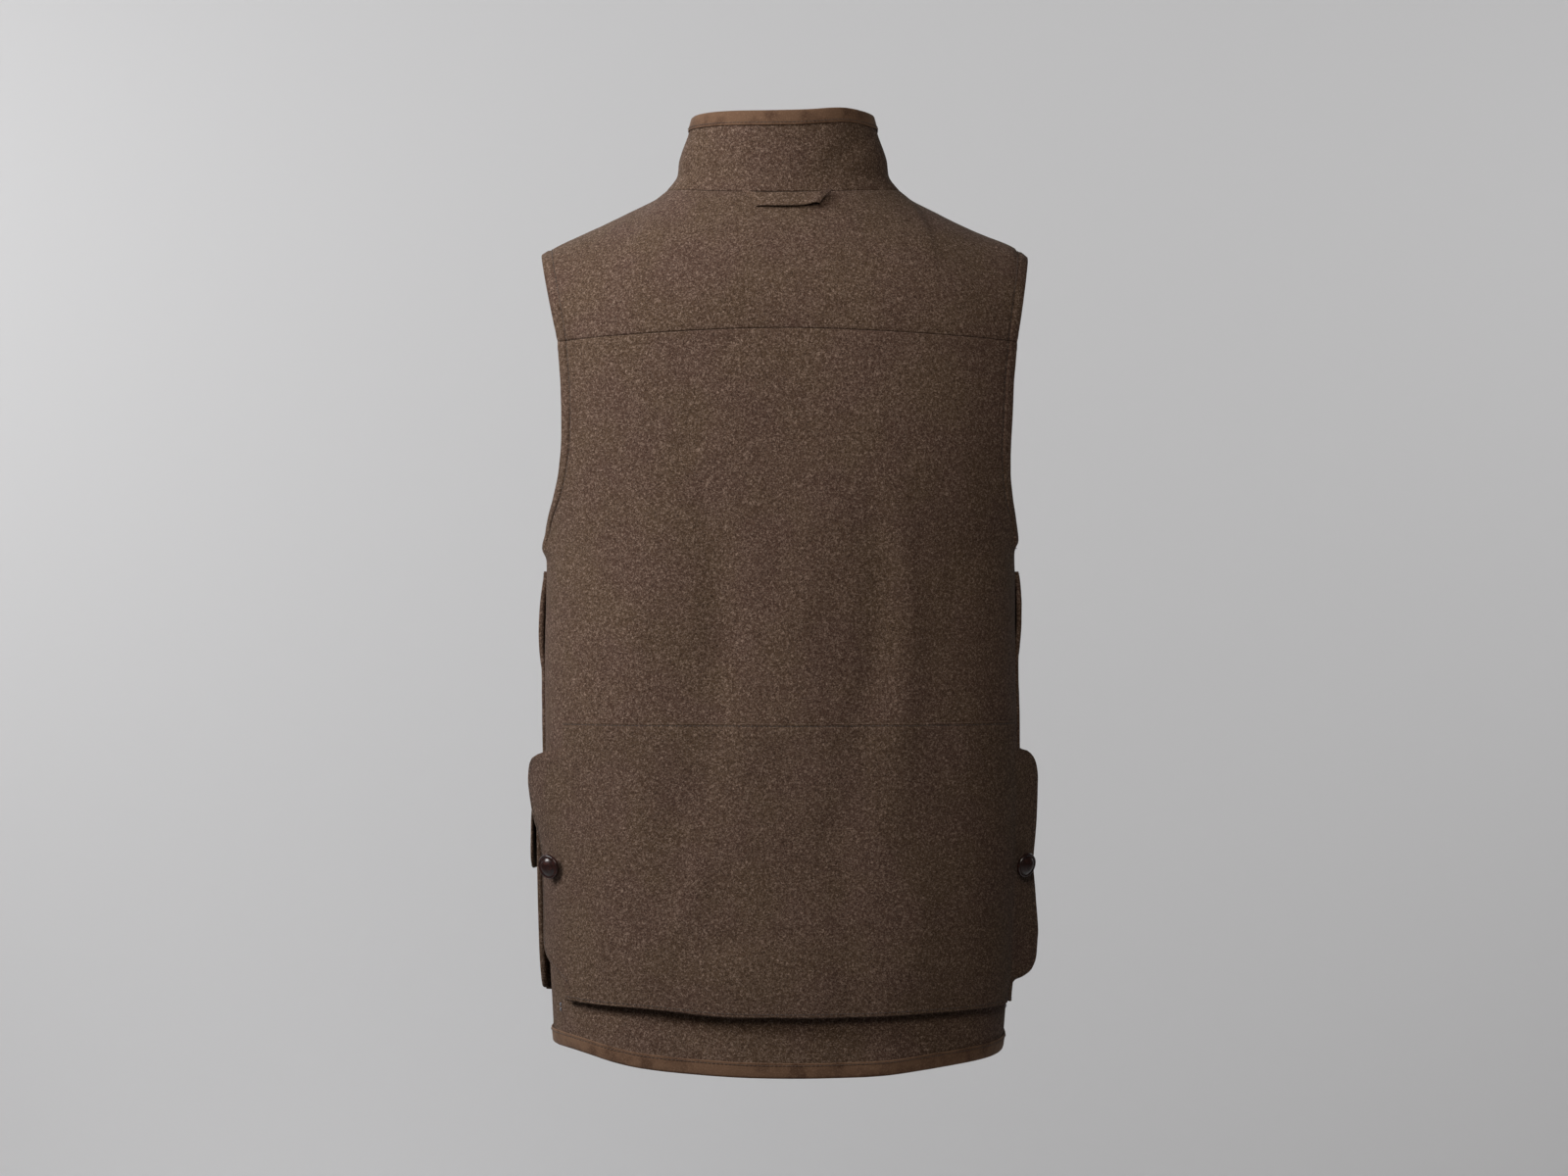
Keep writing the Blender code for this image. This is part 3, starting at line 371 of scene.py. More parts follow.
def wall(name, outer, inner, normals, material):
    # closed cloth: a fine outer face, an inner face of every second point and a rim between them
    inner = inner[::2, ::2]
    faces, rims = [], []
    mid = (outer.shape[0] // 2, outer.shape[1] // 2)
    facing = np.cross(outer[mid[0], mid[1] + 1] - outer[mid], outer[mid[0] + 1, mid[1]] - outer[mid])
    turned = bool(np.dot(facing, normals[mid]) < 0)
    for base, grid, flip in ((0, outer, turned), (outer[..., 0].size, inner, not turned)):
        index = base + np.arange(grid[..., 0].size).reshape(grid.shape[:2])
        corners = [index[:-1, :-1], index[:-1, 1:], index[1:, 1:], index[1:, :-1]]
        if flip:
            corners = corners[:1] + corners[:0:-1]
        faces += np.stack([c.ravel() for c in corners], axis=1).tolist()
        rims.append([*index[0], *index[1:, -1], *index[-1, -2::-1], *index[-2:0:-1, 0]])
    outerRim, innerRim = rims
    for j in range(len(innerRim)):
        b0, b1 = innerRim[j], innerRim[(j + 1) % len(innerRim)]
        a0, a1, a2 = (outerRim[(2 * j + k) % len(outerRim)] for k in range(3))
        strip = [[a1, a0, b0], [a2, a1, b1], [a1, b0, b1]]
        faces += [list(map(int, f[::-1] if turned else f)) for f in strip]
    verts = np.concatenate([outer.reshape(-1, 3), inner.reshape(-1, 3)])
    addPiece(name, verts, faces, material, hasSolid=True)


def clothPiece(name, grid, material, relief=0.0, edges="seam", thickness=cloth["thickness"],
               outside=None, upright=None, rolls=None):
    # relief is added to the outer face; edges names how each of left, right, low and high ends
    normals = gridNormals(grid, fromCore(grid) if outside is None else outside)
    if upright is not None:
        normals = unit(normals * stacked(1.0, 1.0 - upright, 1.0))
    distances = edgeDistances(grid)
    kinds = [edges] * 4 if isinstance(edges, str) else edges
    if rolls is None:
        rolls = [cloth["seamRoll"] if kind == "seam" else cloth["edgeRoll"] for kind in kinds]
    roll = 0.0
    for distance, kind, radius in zip(distances, kinds, rolls):
        roll = np.maximum(roll, rolled(distance, radius))
        if kind == "seam":
            relief = relief - cloth["seamSink"] * np.exp(-distance / 0.0022)
        if kind == "fold":
            relief = relief + cloth["foldRise"] * smoothStep((0.009 - distance) / 0.003)
    for rise, size, shift in cloth["swellings"]:
        relief = relief + rise * unevenness(grid, size, shift)
    roll = roll * np.minimum(thickness / cloth["thickness"], 1.0)
    outer = grid + normals * (relief - roll)[..., None]
    inner = grid - normals * (thickness - roll)[..., None]
    wall(name, outer, inner, normals, material)
    made[name] = outer, normals, distances


def lineAt(name, side, at, byRow=True, low=-9.0, high=9.0):
    # points and normals of a line that keeps a distance from one edge of a piece
    outer, normals, distances = made[name]
    distance = distances[side]
    if not byRow:
        outer, normals, distance = outer.swapaxes(0, 1), normals.swapaxes(0, 1), distance.T
    points, outs = [], []
    for d, p, n in zip(distance, outer, normals):
        turn = -1 if d[0] > d[-1] else 1
        points.append(placedAlong(at, d[::turn], p[::turn]))
        outs.append(placedAlong(at, d[::turn], n[::turn]))
    points, outs = np.array(points), unit(np.array(outs))
    keep = (points[:, 2] > low) & (points[:, 2] < high)
    return points[keep], outs[keep]


edgeBead = {
    "halfThick": 0.0020,
    "halfDeep": 0.0017,
    "inside": 0.0012,        # centre line this far inside the cut edge
    "sides": 14,
    "turnedWidth": 0.0104,
}


def turnedEdge(name, points, outs, beyond, material, half=edgeBead["halfThick"], ends=0.003):
    # the rounded fold of a turned edge along a line of (surface point, out, beyond)
    square = unit(np.cross(np.gradient(points, axis=0), outs))
    beyond = square * (1.0 if (square * beyond).sum() > 0 else -1.0)
    length = lengthAlong(points)
    toEnd = np.minimum(length, length[-1] - length)
    taper = np.sqrt(1.0 - (1.0 - np.clip(toEnd / ends, 0.02, 1.0)) ** 2)[:, None, None]
    cosine, sine = circle(edgeBead["sides"])
    spokes = outs[:, None] * half * cosine + beyond[:, None] * edgeBead["halfDeep"] * sine
    tube(name, (points - outs * half * 0.97)[:, None] + spokes * taper, material)


def edgeFrame(name, side, inside=edgeBead["inside"]):
    # line just inside an edge with its outward normal and the direction past the edge
    points, outs = lineAt(name, side, inside)
    deeper, _ = lineAt(name, side, inside + 0.002)
    return points, outs, unit(points - deeper)


stitch = {
    "pitch": 0.0037,
    "length": 0.0030,
    "radius": 0.00032,
    "lift": 0.00006,
    "sides": 6,
    # share of the length, share of the height and width of a stitch
    "rings": [(0.0, -0.8, 0.3), (0.14, 0.3, 0.9), (0.5, 0.8, 1.0), (0.86, 0.3, 0.9), (1.0, -0.8, 0.3)],
}


def stitches(name, lines, material, slotName="wool", pitch=stitch["pitch"]):
    # short dashes of thread along lines of (points, normals)
    shares, heights, widths = np.array(stitch["rings"]).T
    cosine, sine = circle(stitch["sides"])
    verts, faces, size = [], [], len(shares) * stitch["sides"]
    for points, normals in lines:
        length = lengthAlong(points)
        count = int(length[-1] / pitch)
        begins = (np.arange(count) + 0.15) * length[-1] / max(count, 1)
        at = begins[:, None] + shares * stitch["length"]
        p, ahead = placedAlong(at, length, points), placedAlong(at + 0.0004, length, points)
        n = unit(placedAlong(at, length, normals))
        side = unit(np.cross(ahead - p + 1e-9, n))
        centre = p + n * (stitch["lift"] + heights * stitch["radius"])[:, None]
        spokes = side[..., None, :] * cosine + n[..., None, :] * sine
        rings = centre[..., None, :] + spokes * (stitch["radius"] * widths)[:, None, None]
        for i in range(count):
            faces += tubeFaces(len(shares), stitch["sides"], len(verts) + i * size)
        verts += rings.reshape(-1, 3).tolist()
    addPiece(name, np.array(verts), faces, material, slotName)


# finishes
# layers of colour: size, detail, roughness and distortion of the noise, the part of the noise
# that counts, how much of the colour its two ends give, the colour

woolLook = {
    "base": (0.078, 0.0425, 0.0272), "under": (0.077, 0.047, 0.029),
    "roughness": 0.95, "specular": 0.12,
    "sheen": 0.03, "sheenRoughness": 0.55, "sheenTint": (0.75, 0.66, 0.58),
    "layers": [
        (0.050, 2.0, 0.5, 0.0, (0.38, 0.62), (0.0, 1.0), (0.075, 0.043, 0.031)),      # mauve patches
        (0.0012, 3.0, 0.65, 0.6, (0.32, 0.57), (0.82, 0.0), (0.012, 0.005, 0.003)),   # dark flecks
        (0.0017, 4.0, 0.7, 0.9, (0.49, 0.72), (0.0, 0.68), (0.347, 0.248, 0.195)),    # light fibres
        (0.00204, 1.0, 0.5, 1.2, (0.66, 0.78), (0.0, 0.55), (0.347, 0.248, 0.195)),   # light specks
    ],
    "bumpLayers": [1, 2], "bump": 0.55, "bumpDepth": 0.0005,
}

suedeLook = {
    "base": (0.122, 0.068, 0.041), "under": (0.068, 0.035, 0.021),
    "roughness": 0.93, "specular": 0.15,
    "sheen": 0.12, "sheenTint": (0.8, 0.66, 0.54),
    "layers": [
        (0.014, 3.0, 0.5, 0.0, (0.36, 0.56), (0.0, 1.0), (0.122, 0.068, 0.041)),      # worn patches
        (0.0012, 3.0, 0.5, 0.0, (0.48, 0.72), (0.0, 0.6), (0.182, 0.110, 0.070)),     # nap
    ],
    "bumpLayers": [1], "bump": 0.35, "bumpDepth": 0.0003,
}

hornLook = {
    "base": (0.017, 0.007, 0.006), "roughness": 0.26,
    "layers": [(0.00625, 3.0, 0.5, 1.5, (0.45, 0.75), (0.0, 1.0), (0.040, 0.015, 0.012))],
}


def threadLook(colour):
    bright = tuple(c * 1.5 for c in colour)
    twist = (1.0 / 2600.0, 2.0, 0.5, 0.0, (0.0, 1.0), (0.0, 1.0), bright)
    return {"base": colour, "roughness": 0.75, "sheen": 0.1, "layers": [twist]}


def addNode(tree, kind, values, links=()):
    item = tree.nodes.new(kind)
    for socket, value in values.items():
        item.inputs[socket].default_value = value
    for socket, source in links:
        tree.links.new(source, item.inputs[socket])
    return item


def mixed(tree, factor, first, second, mode="MIX"):
    # colour mix; each input is a socket or a fixed colour
    mix = tree.nodes.new("ShaderNodeMix")
    mix.data_type = "RGBA"
    mix.blend_type = mode
    for socket, value in ((mix.inputs[0], factor), (mix.inputs[6], first), (mix.inputs[7], second)):
        if isinstance(value, (int, float)):
            socket.default_value = value
        elif isinstance(value, tuple):
            socket.default_value = (*value, 1.0)
        else:
            tree.links.new(value, socket)
    return mix.outputs[2]


def makeMaterial(name, look, shift=0.0, shadeTone=1.0):
    material = bpy.data.materials.new(name)
    material.use_nodes = True
    tree = material.node_tree
    shader = tree.nodes["Principled BSDF"]
    shader.inputs["Base Color"].default_value = (*look["base"], 1.0)
    shader.inputs["Roughness"].default_value = look["roughness"]
    shader.inputs["Sheen Weight"].default_value = look.get("sheen", 0.0)
    shader.inputs["Sheen Roughness"].default_value = look.get("sheenRoughness", 0.5)
    shader.inputs["Sheen Tint"].default_value = (*look.get("sheenTint", (1.0, 1.0, 1.0)), 1.0)
    shader.inputs["Specular IOR Level"].default_value = look.get("specular", 0.5)
    if "layers" not in look:
        return material
    place = tree.nodes.new("ShaderNodeTexCoord").outputs["Object"]
    moved = addNode(tree, "ShaderNodeMapping", {"Location": (shift, shift * 0.7, shift * 0.3)},
                    [("Vector", place)])
    colour, noises = look.get("under", look["base"]), []
    for size, detail, rough, distortion, part, share, other in look["layers"]:
        values = {"Scale": 1.0 / size, "Detail": detail, "Roughness": rough, "Distortion": distortion}
        texture = addNode(tree, "ShaderNodeTexNoise", values, [("Vector", moved.outputs["Vector"])])
        noises.append(texture.outputs["Fac"])
        amount = addNode(tree, "ShaderNodeMapRange", dict(zip((1, 2, 3, 4), part + share)), [(0, noises[-1])])
        colour = mixed(tree, amount.outputs[0], colour, other)
    # a factor below 1 darkens this copy of the cloth: painted shade
    if shadeTone != 1.0:
        colour = mixed(tree, 1.0, colour, (shadeTone, shadeTone, shadeTone), "MULTIPLY")
    tree.links.new(colour, shader.inputs["Base Color"])
    if "bumpLayers" in look:
        height = noises[look["bumpLayers"][0]]
        for i in look["bumpLayers"][1:]:
            height = addNode(tree, "ShaderNodeMath", {}, [(0, height), (1, noises[i])]).outputs[0]
        values = {"Strength": look["bump"], "Distance": look["bumpDepth"]}
        relief = addNode(tree, "ShaderNodeBump", values, [("Height", height)])
        tree.links.new(relief.outputs["Normal"], shader.inputs["Normal"])
    return material


woolBack = makeMaterial("woolBack", woolLook)
woolYoke = makeMaterial("woolYoke", woolLook, 1.3)
woolFront = makeMaterial("woolFront", woolLook, 2.1)
# the pockets take the same wool made 10% darker: painted shade for the lower, less lit pockets
woolPocket = makeMaterial("woolPocket", woolLook, 3.4, 0.90)
woolCollar = makeMaterial("woolCollar", woolLook, 4.7)
suede = makeMaterial("suedeBinding", suedeLook)
horn = makeMaterial("hornButton", hornLook)
thread = makeMaterial("darkThread", threadLook((0.030, 0.019, 0.014)))
suedeThread = makeMaterial("suedeThread", threadLook((0.050, 0.028, 0.018)))
tackThread = makeMaterial("tackThread", threadLook((0.120, 0.125, 0.150)))
print("Finishes ready")

# panels

panelCut = {
    "neckShare": 0.74,       # share of the chest width that runs up to the neck
    "tipLeft": (0.2040, 0.004, -0.0545),
    "tipRight": (-0.2065, 0.004, -0.0570),
    "shoulderSag": 0.0028,
    "shoulderEndAt": 0.15,
    "shoulderEndRise": {1: 0.0006, -1: 0.0026},
    "centreArc": math.radians(40.0),
    "neckDip": 0.0012,
    "neckDipAt": 0.09,
    "lip": 0.0040,
    "lipShare": 0.10,
    "topstitch": 0.0100,      # from the armhole's edge
    "topstitchSink": 0.0011,
    "turnedRise": 0.00055,   # the turned-in cloth lifts the armhole's edge
    "sideSwell": 0.0008,
    "frontStitch": 0.0070,
    "yokeSeamCentre": -0.1230,
    "chestLine": -0.1500,
    # height at the panel's centre, height and depth at the armhole, share of the lip
    "backArmhole": [
        (-0.303, -0.3030, 0.018, 0.0), (-0.294, -0.2940, 0.024, 0.20),
        (-0.282, -0.2830, 0.032, 0.55), (-0.262, -0.2630, 0.048, 0.32),
        (-0.240, -0.2400, 0.058, 0.0), (-0.210, -0.2110, 0.065, 0.0),
        (-0.168, -0.1720, 0.066, 0.0), (-0.1230, -0.1315, 0.062, 0.0),
    ],
    "frontArmhole": [
        (-0.303, -0.3030, 0.018, 0.0), (-0.290, -0.3020, -0.004, 0.0),
        (-0.275, -0.2920, -0.028, 0.15), (-0.255, -0.2700, -0.050, 0.20),
        (-0.228, -0.2380, -0.066, 0.0), (-0.192, -0.1970, -0.074, 0.0),
        (-0.150, -0.1500, -0.074, 0.0),
    ],
    # swelling under the arm on each side: rise, depth and height of its middle, half depth,
    # half height above and below the middle
    "underarmSwell": {
        1: (0.0044, 0.021, -0.3030, 0.017, 0.0130, 0.0062),
        -1: (0.0036, 0.021, -0.2960, 0.017, 0.0120, 0.0062),
    },
    "frontEdge": math.pi + 0.0140 / 0.122,
    # lengths along the cloth, which decide how many rows of mesh it gets
    "lengths": {"neck": 0.155, "shoulder": 0.075, "yoke": 0.14, "front": 0.12},
    "overlapStep": 0.0054,
    "overlapRamp": (0.020, 0.055),
}

neckline = {
    "halfWidth": 0.0990, "back": 0.062, "front": 0.080,
    "backDrop": 0.006, "frontDrop": 0.068, "sweep": 1.3,
    "topHalfWidth": 0.0765, "topBack": 0.057, "topFront": 0.087,
    "topHeight": 0.0610, "topFrontDrop": 0.0640,
    # share of the collar's height, share of the way in to its top edge
    "rows": [(0.00, 0.00), (0.10, 0.25), (0.20, 0.42), (0.43, 0.50), (0.72, 0.77), (1.00, 1.00)],
}


def neckPoint(angle):
    cut = neckline
    cosine = np.cos(angle)
    back = cosine >= 0
    depth = np.where(back, cut["back"], cut["front"])
    drop = np.where(back, cut["backDrop"] * cosine ** 2,
                    cut["frontDrop"] * np.abs(cosine) ** cut["sweep"])
    return stacked(cut["halfWidth"] * np.sin(angle), depth * cosine, -drop)


def collarTopPoint(angle):
    cut = neckline
    cosine = np.cos(angle)
    depth = np.where(cosine >= 0, cut["topBack"], cut["topFront"])
    drop = np.where(cosine >= 0, 0.0, cut["topFrontDrop"] * np.abs(cosine) ** cut["sweep"])
    return stacked(cut["topHalfWidth"] * np.sin(angle), depth * cosine, cut["topHeight"] - drop)


def chestShare(share):
    neck = panelCut["neckShare"]
    return np.where(share <= 1.0, share * neck, neck + (share - 1.0) * (1.0 - neck))


def overlapForward(x, side):
    # the left front lies over the right one
    start, end = panelCut["overlapRamp"]
    return side * panelCut["overlapStep"] / 2.0 * smoothStep((end - side * x) / (end - start))


def topPoint(share, side, centreAngle):
    neck = neckPoint(side * (centreAngle + (math.pi / 2.0 - centreAngle) * np.minimum(share, 1.0)))
    along = np.clip(share - 1.0, 0.0, 1.0)[:, None]
    tip = np.array(panelCut["tipLeft"] if side > 0 else panelCut["tipRight"])
    shoulder = neckPoint(np.array([side * math.pi / 2.0])) * (1.0 - along) + tip * along
    shoulder[:, 2] -= panelCut["shoulderSag"] * 4.0 * (along * (1.0 - along) ** 2)[:, 0]
    dip = along[:, 0] / panelCut["neckDipAt"]
    shoulder[:, 2] -= panelCut["neckDip"] * dip ** 2 * np.exp(2.0 - 2.0 * dip)
    end = (1.0 - along[:, 0]) / panelCut["shoulderEndAt"]
    shoulder[:, 2] += panelCut["shoulderEndRise"][side] * end ** 2 * np.exp(2.0 - 2.0 * end)
    return np.where(share[:, None] <= 1.0, neck, shoulder)


def seamRows():
    hem, arm, back = bodyForm["hemSide"], bodyForm["underarm"], bodyForm["seamBackUnderarm"]
    slope = (bodyForm["seamBackHem"] - back) / (hem - arm)
    heights = [hem + (arm - 0.012 - hem) * i / 7 for i in range(7)] + [arm - 0.028, arm - 0.010]
    return [(height, height, back + slope * (height - arm), 0.0) for height in heights]


def lowerPanel(side, centreAngle, armhole, share, level):
    rows = np.array(seamRows() + armhole)
    edgeHeight, edgeDepth, lip = (curveThrough(rows[:, 0], rows[:, k], level) for k in (1, 2, 3))
    edgeAngle = angleAtDepth(edgeDepth, edgeHeight, side)
    part = chestShare(share)[None, :]
    angle = side * centreAngle * (1.0 - part) + edgeAngle[:, None] * part
    height = level[:, None] + (edgeHeight - level)[:, None] * part ** 2
    toHem = np.clip((rows[1, 0] - level) / (rows[1, 0] - rows[0, 0]), 0.0, 1.0)[:, None]
    drop = hemHeight(angle) + cloth["bindingCloth"] + cloth["seamGap"] - bodyForm["hemSide"]
    height = height + toHem * drop
    point, normal = bodyPoint(angle, height), bodyNormal(angle, height)
    rise = panelCut["lip"] * lip[:, None] * smoothStep((part - 1.0) / panelCut["lipShare"] + 1.0)
    out, depthAt, heightAt, depthHalf, halfAbove, halfBelow = panelCut["underarmSwell"][side]
    heightHalf = np.where(point[..., 2] > heightAt, halfAbove, halfBelow)
    swell = ((point[..., 1] - depthAt) / depthHalf) ** 2 + ((point[..., 2] - heightAt) / heightHalf) ** 2
    rise = rise + out * np.exp(-swell) * smoothStep((part - 0.7) / 0.2)
    return point + normal * rise[..., None]


def upperPanel(side, centreAngle, armhole, share, rise):
    centre, edgeHeight, edgeDepth = armhole[-1][:3]
    edge = float(angleAtDepth(np.array(edgeDepth), edgeHeight, side))
    part = chestShare(share)
    angle = side * centreAngle * (1.0 - part) + edge * part
    low = bodyPoint(angle, centre + (edgeHeight - centre) * part ** 2)[None]
    high = topPoint(share, side, centreAngle)[None]
    toArm = smoothStep(share - 1.0)[None]
    arc = panelCut["centreArc"] + (math.pi / 2.0 - panelCut["centreArc"]) * smoothStep(share / 2.0)[None]
    turn = rise[:, None] * arc
    climb = np.sin(turn) / np.sin(arc)
    reach = (1.0 - np.cos(turn)) / (1.0 - np.cos(arc))
    across = reach + (climb - reach) * toArm
    return low + (high - low) * np.stack([across, reach, climb], axis=-1)


def panelShares(openEdge):
    step, long = cloth["step"], panelCut["lengths"]
    neck = spread(long["neck"], step, first=openEdge, last=False)
    stitched = (long["shoulder"] - panelCut["topstitch"],)
    arm = spread(long["shoulder"], step * 0.8, first=False, at=stitched)
    return np.concatenate([neck, 1.0 + arm[1:]])


def bothSides(panel, marks):
    # both halves of the back, joined at its centre
    shares = panelShares(False)
    right, left = (panel(side, 0.0, panelCut["backArmhole"], shares, marks) for side in (-1, 1))
    return np.concatenate([right[:, :0:-1], left], axis=1)


def levels(top):
    low = bodyForm["hemSide"]
    return low + (top - low) * spread(top - low, cloth["step"])


def atShoulder(distance, grid):
    # 1 at the shoulder seam, where front and yoke stand edge to edge
    return np.exp(-distance / 0.0016) * (np.abs(grid[..., 0]) > neckline["halfWidth"] - 0.001)


def turnedIn(distance, share=1.0):
    # thickness of a panel whose armhole edge is turned in and sewn down
    extra = 2.0 * edgeBead["halfThick"] - cloth["thickness"]
    return cloth["thickness"] + extra * smoothStep((edgeBead["turnedWidth"] - distance) / 0.0015) * share


def armOpening(grid):
    # 1 along the armhole, 0 along the side seam
    return smoothStep((grid[..., 2] - bodyForm["underarm"]) / 0.004)


def armEdge(distance, openArm=1.0):
    # topstitch and turned-in cloth along the armhole, cloth that swells beside the side seam
    relief = panelCut["turnedRise"] * smoothStep((0.0095 - distance) / 0.002)
    relief = relief - groove(distance, panelCut["topstitch"], panelCut["topstitchSink"], 0.0009)
    return relief * openArm + panelCut["sideSwell"] * np.exp(-distance / 0.0022) * (1.0 - openArm)


def makeBack():
    grid = bothSides(lowerPanel, levels(panelCut["yokeSeamCentre"]))
    right, left, _, high = edgeDistances(grid)
    edge, openArm = np.minimum(left, right), armOpening(grid)
    # the seam turnings lie inside and lift the cloth a little beside the seam
    relief = armEdge(edge, openArm) + 0.00035 * smoothStep((0.009 - high) / 0.003)
    rolls = [sideRoll(openArm), sideRoll(openArm), cloth["seamRoll"], cloth["edgeRoll"]]
    clothPiece("backPanel", grid, woolBack, relief, thickness=turnedIn(edge, openArm), rolls=rolls)


def makeYoke():
    grid = bothSides(upperPanel, spread(panelCut["lengths"]["yoke"], cloth["step"]))
    right, left, low, high = edgeDistances(grid)
    edge = np.minimum(left, right)
    relief = armEdge(edge) + 0.00030 * smoothStep((0.008 - low) / 0.003)
    relief = relief + 0.00045 * unevenness(grid, 0.070, 5.2)
    rolls = [cloth["edgeRoll"]] * 3 + [cloth["seamRoll"]]
    clothPiece("backYoke", grid, woolYoke, relief, thickness=turnedIn(edge),
               upright=atShoulder(high, grid), rolls=rolls)


def makeFront(name, side):
    rise = spread(panelCut["lengths"]["front"], cloth["step"], first=False)
    cut = side, panelCut["frontEdge"], panelCut["frontArmhole"], panelShares(True)
    grid = np.concatenate([lowerPanel(*cut, levels(panelCut["chestLine"])[:-1]), upperPanel(*cut, rise)])
    grid[..., 1] -= overlapForward(grid[..., 0], side)
    if len(grid) % 2 == 0:
        grid = np.concatenate([grid[:2], grid[3:]])
    centre, arm, _, high = edgeDistances(grid)
    openArm = armOpening(grid)
    relief = armEdge(arm, openArm) - groove(centre, panelCut["frontStitch"], 0.00035)
    rolls = [cloth["edgeRoll"], sideRoll(openArm), cloth["seamRoll"], cloth["seamRoll"]]
    clothPiece(name, grid, woolFront, relief, ["fold", "seam", "seam", "seam"], turnedIn(arm, openArm),
               upright=atShoulder(high, grid), rolls=rolls)


def makeArmholeEdges():
    # one fold from the underarm up the front, over the shoulder and down the back
    low = bodyForm["underarm"] - 0.0002
    for front, k in (("frontLeft", 1), ("frontRight", 0)):
        parts = []
        for name, side, turn in ((front, 1, 1), ("backYoke", k, -1), ("backPanel", k, -1)):
            line = edgeFrame(name, side)
            keep = line[0][:, 2] > low
            parts.append([part[keep][3:-3][::turn] for part in line])
        whole = [np.concatenate(part) for part in zip(*parts)]
        turnedEdge(front.replace("front", "armholeEdge"), *whole, woolYoke)


seamForm = {"deep": 0.0021, "radius": 0.0007, "sideDeep": 0.0008, "sides": 8}


def seamCord(name, points, outs, deep, material):
    # the sewn line in the depth of a seam, between the edges of both pieces
    side = unit(np.cross(np.gradient(points, axis=0), outs))
    cosine, sine = circle(seamForm["sides"])
    spokes = side[:, None] * cosine + outs[:, None] * sine
    tube(name, (points - outs * deep)[:, None] + spokes * seamForm["radius"], material)


def sideSeam(name, column):
    outer, outs = (part[:, column] for part in made["backPanel"][:2])
    low = (outer[:, 2] < bodyForm["underarm"] - 0.002) & (outer[:, 2] > -0.730)
    points = outer[low] + outs[low] * cloth["seamRoll"]
    seamCord(name, points, outs[low], seamForm["sideDeep"], woolBack)


def yokeSeam():
    low, high = made["backPanel"], made["backYoke"]
    outs = low[1][-1, 3:-3]
    points = (low[0][-1, 3:-3] + high[0][0, 3:-3]) / 2.0 + outs * cloth["edgeRoll"]
    # the cord takes the dark thread's colour: partly the seam's own thread, partly painted shade for the dark
    # line deep in the seam
    seamCord("yokeSeam", points, outs, seamForm["deep"], thread)


makeBack()
makeYoke()
makeFront("frontLeft", 1)
makeFront("frontRight", -1)
makeArmholeEdges()
yokeSeam()
sideSeam("sideSeamLeft", -1)
sideSeam("sideSeamRight", 0)
print("Panels made")

# collar

collarCut = {
    "halfLength": 0.29, "height": 0.070,
    "round": 0.0027, "rise": 0.0024,         # mesh steps round the neck and up the collar
    "creaseDepth": 0.0020, "wave": 0.0028,
}


def collarAngles():
    marks = panelCut["frontEdge"] * spread(collarCut["halfLength"], collarCut["round"], first=False)
    return np.concatenate([-marks[:0:-1], marks])


def makeCollar():
    angle = collarAngles()[None, :]
    rows = np.array(neckline["rows"])
    share = spread(collarCut["height"], collarCut["rise"])[:, None]
    inward = curveThrough(rows[:, 0], rows[:, 1], share)
    seam, top = neckPoint(angle), collarTopPoint(angle)
    grid = seam + (top - seam) * inward[..., None]
    grid[..., 2] = seam[..., 2] + (top[..., 2] - seam[..., 2]) * share
    grid[..., 1] -= overlapForward(seam[..., 0], np.sign(angle)) * (np.cos(angle) < 0)
    x, back = grid[..., 0], grid[..., 1] > 0
    wave = bump((x + 0.052) / 0.022) - 0.4 * bump((x - 0.012) / 0.035)
    grid[..., 2] += collarCut["wave"] * wave * back * share ** 2
    outside = stacked(np.sin(angle), np.cos(angle), 0.0)
    # a soft diagonal dent on the right of the back and a smaller one on the left
    z = grid[..., 2]
    dent = bump(((x + 0.055) * 0.80 + (z - 0.030) * 0.60) / 0.010) * bump((z - 0.028) / 0.022)
    dent = dent + 0.5 * bump(((x - 0.060) * 0.85 - (z - 0.030) * 0.50) / 0.009)
    grid = grid - gridNormals(grid, outside) * (collarCut["creaseDepth"] * dent * back)[..., None]
    clothPiece("standCollar", grid, woolCollar, edges=["fold", "fold", "seam", "plain"], outside=outside)
    outer, normals, _ = made["standCollar"]
    outs = normals[0][2:-2]
    # the cord takes the dark thread's colour: partly the seam's own thread, partly painted shade for the dark
    # line deep in the seam
    seamCord("neckSeam", outer[0][2:-2] + outs * cloth["seamRoll"], outs, seamForm["deep"], thread)


makeCollar()
print("Collar made")

# suede binding folded over the collar's top and the hem

bindingCut = {
    "width": 0.0105, "hemWidth": 0.0108,
    "stitchIn": 0.0021, "stitchSink": 0.00030, "pitch": 0.0034,
    "wave": 0.00035,         # of the lower edge
    "swell": 0.00018,
}


def bindingProfile(width):
    # (out, beyond) pairs of the strip's section, round at both folds
    gap, skin = cloth["seamGap"], cloth["seamGap"] + cloth["bindingCloth"]
    t = cloth["thickness"]
    middle, half = -t / 2.0, t / 2.0 + skin
    outer = [(gap + 0.0002, -width), (skin - 0.0003, -width - 0.00005), (skin, -width + 0.0005)]
    outer += [(skin, -width + d) for d in (0.0014, 0.0021, 0.0028, 0.0045, 0.0070)]
    for k in range(9):
        turn = math.pi * k / 8
        outer.append((middle + half * math.cos(turn), skin - half + half * math.sin(turn) + 0.0009))
    outer += [(-t - skin, -width + d) for d in (0.0070, 0.0028, 0.0005)]
    outer += [(-t - skin + 0.0003, -width - 0.00005), (-t - gap - 0.0002, -width)]
    inside = [(-t - gap, -width + 0.0008), (-t - gap, gap), (gap, gap), (gap, -width + 0.0008)]
    return outer + inside


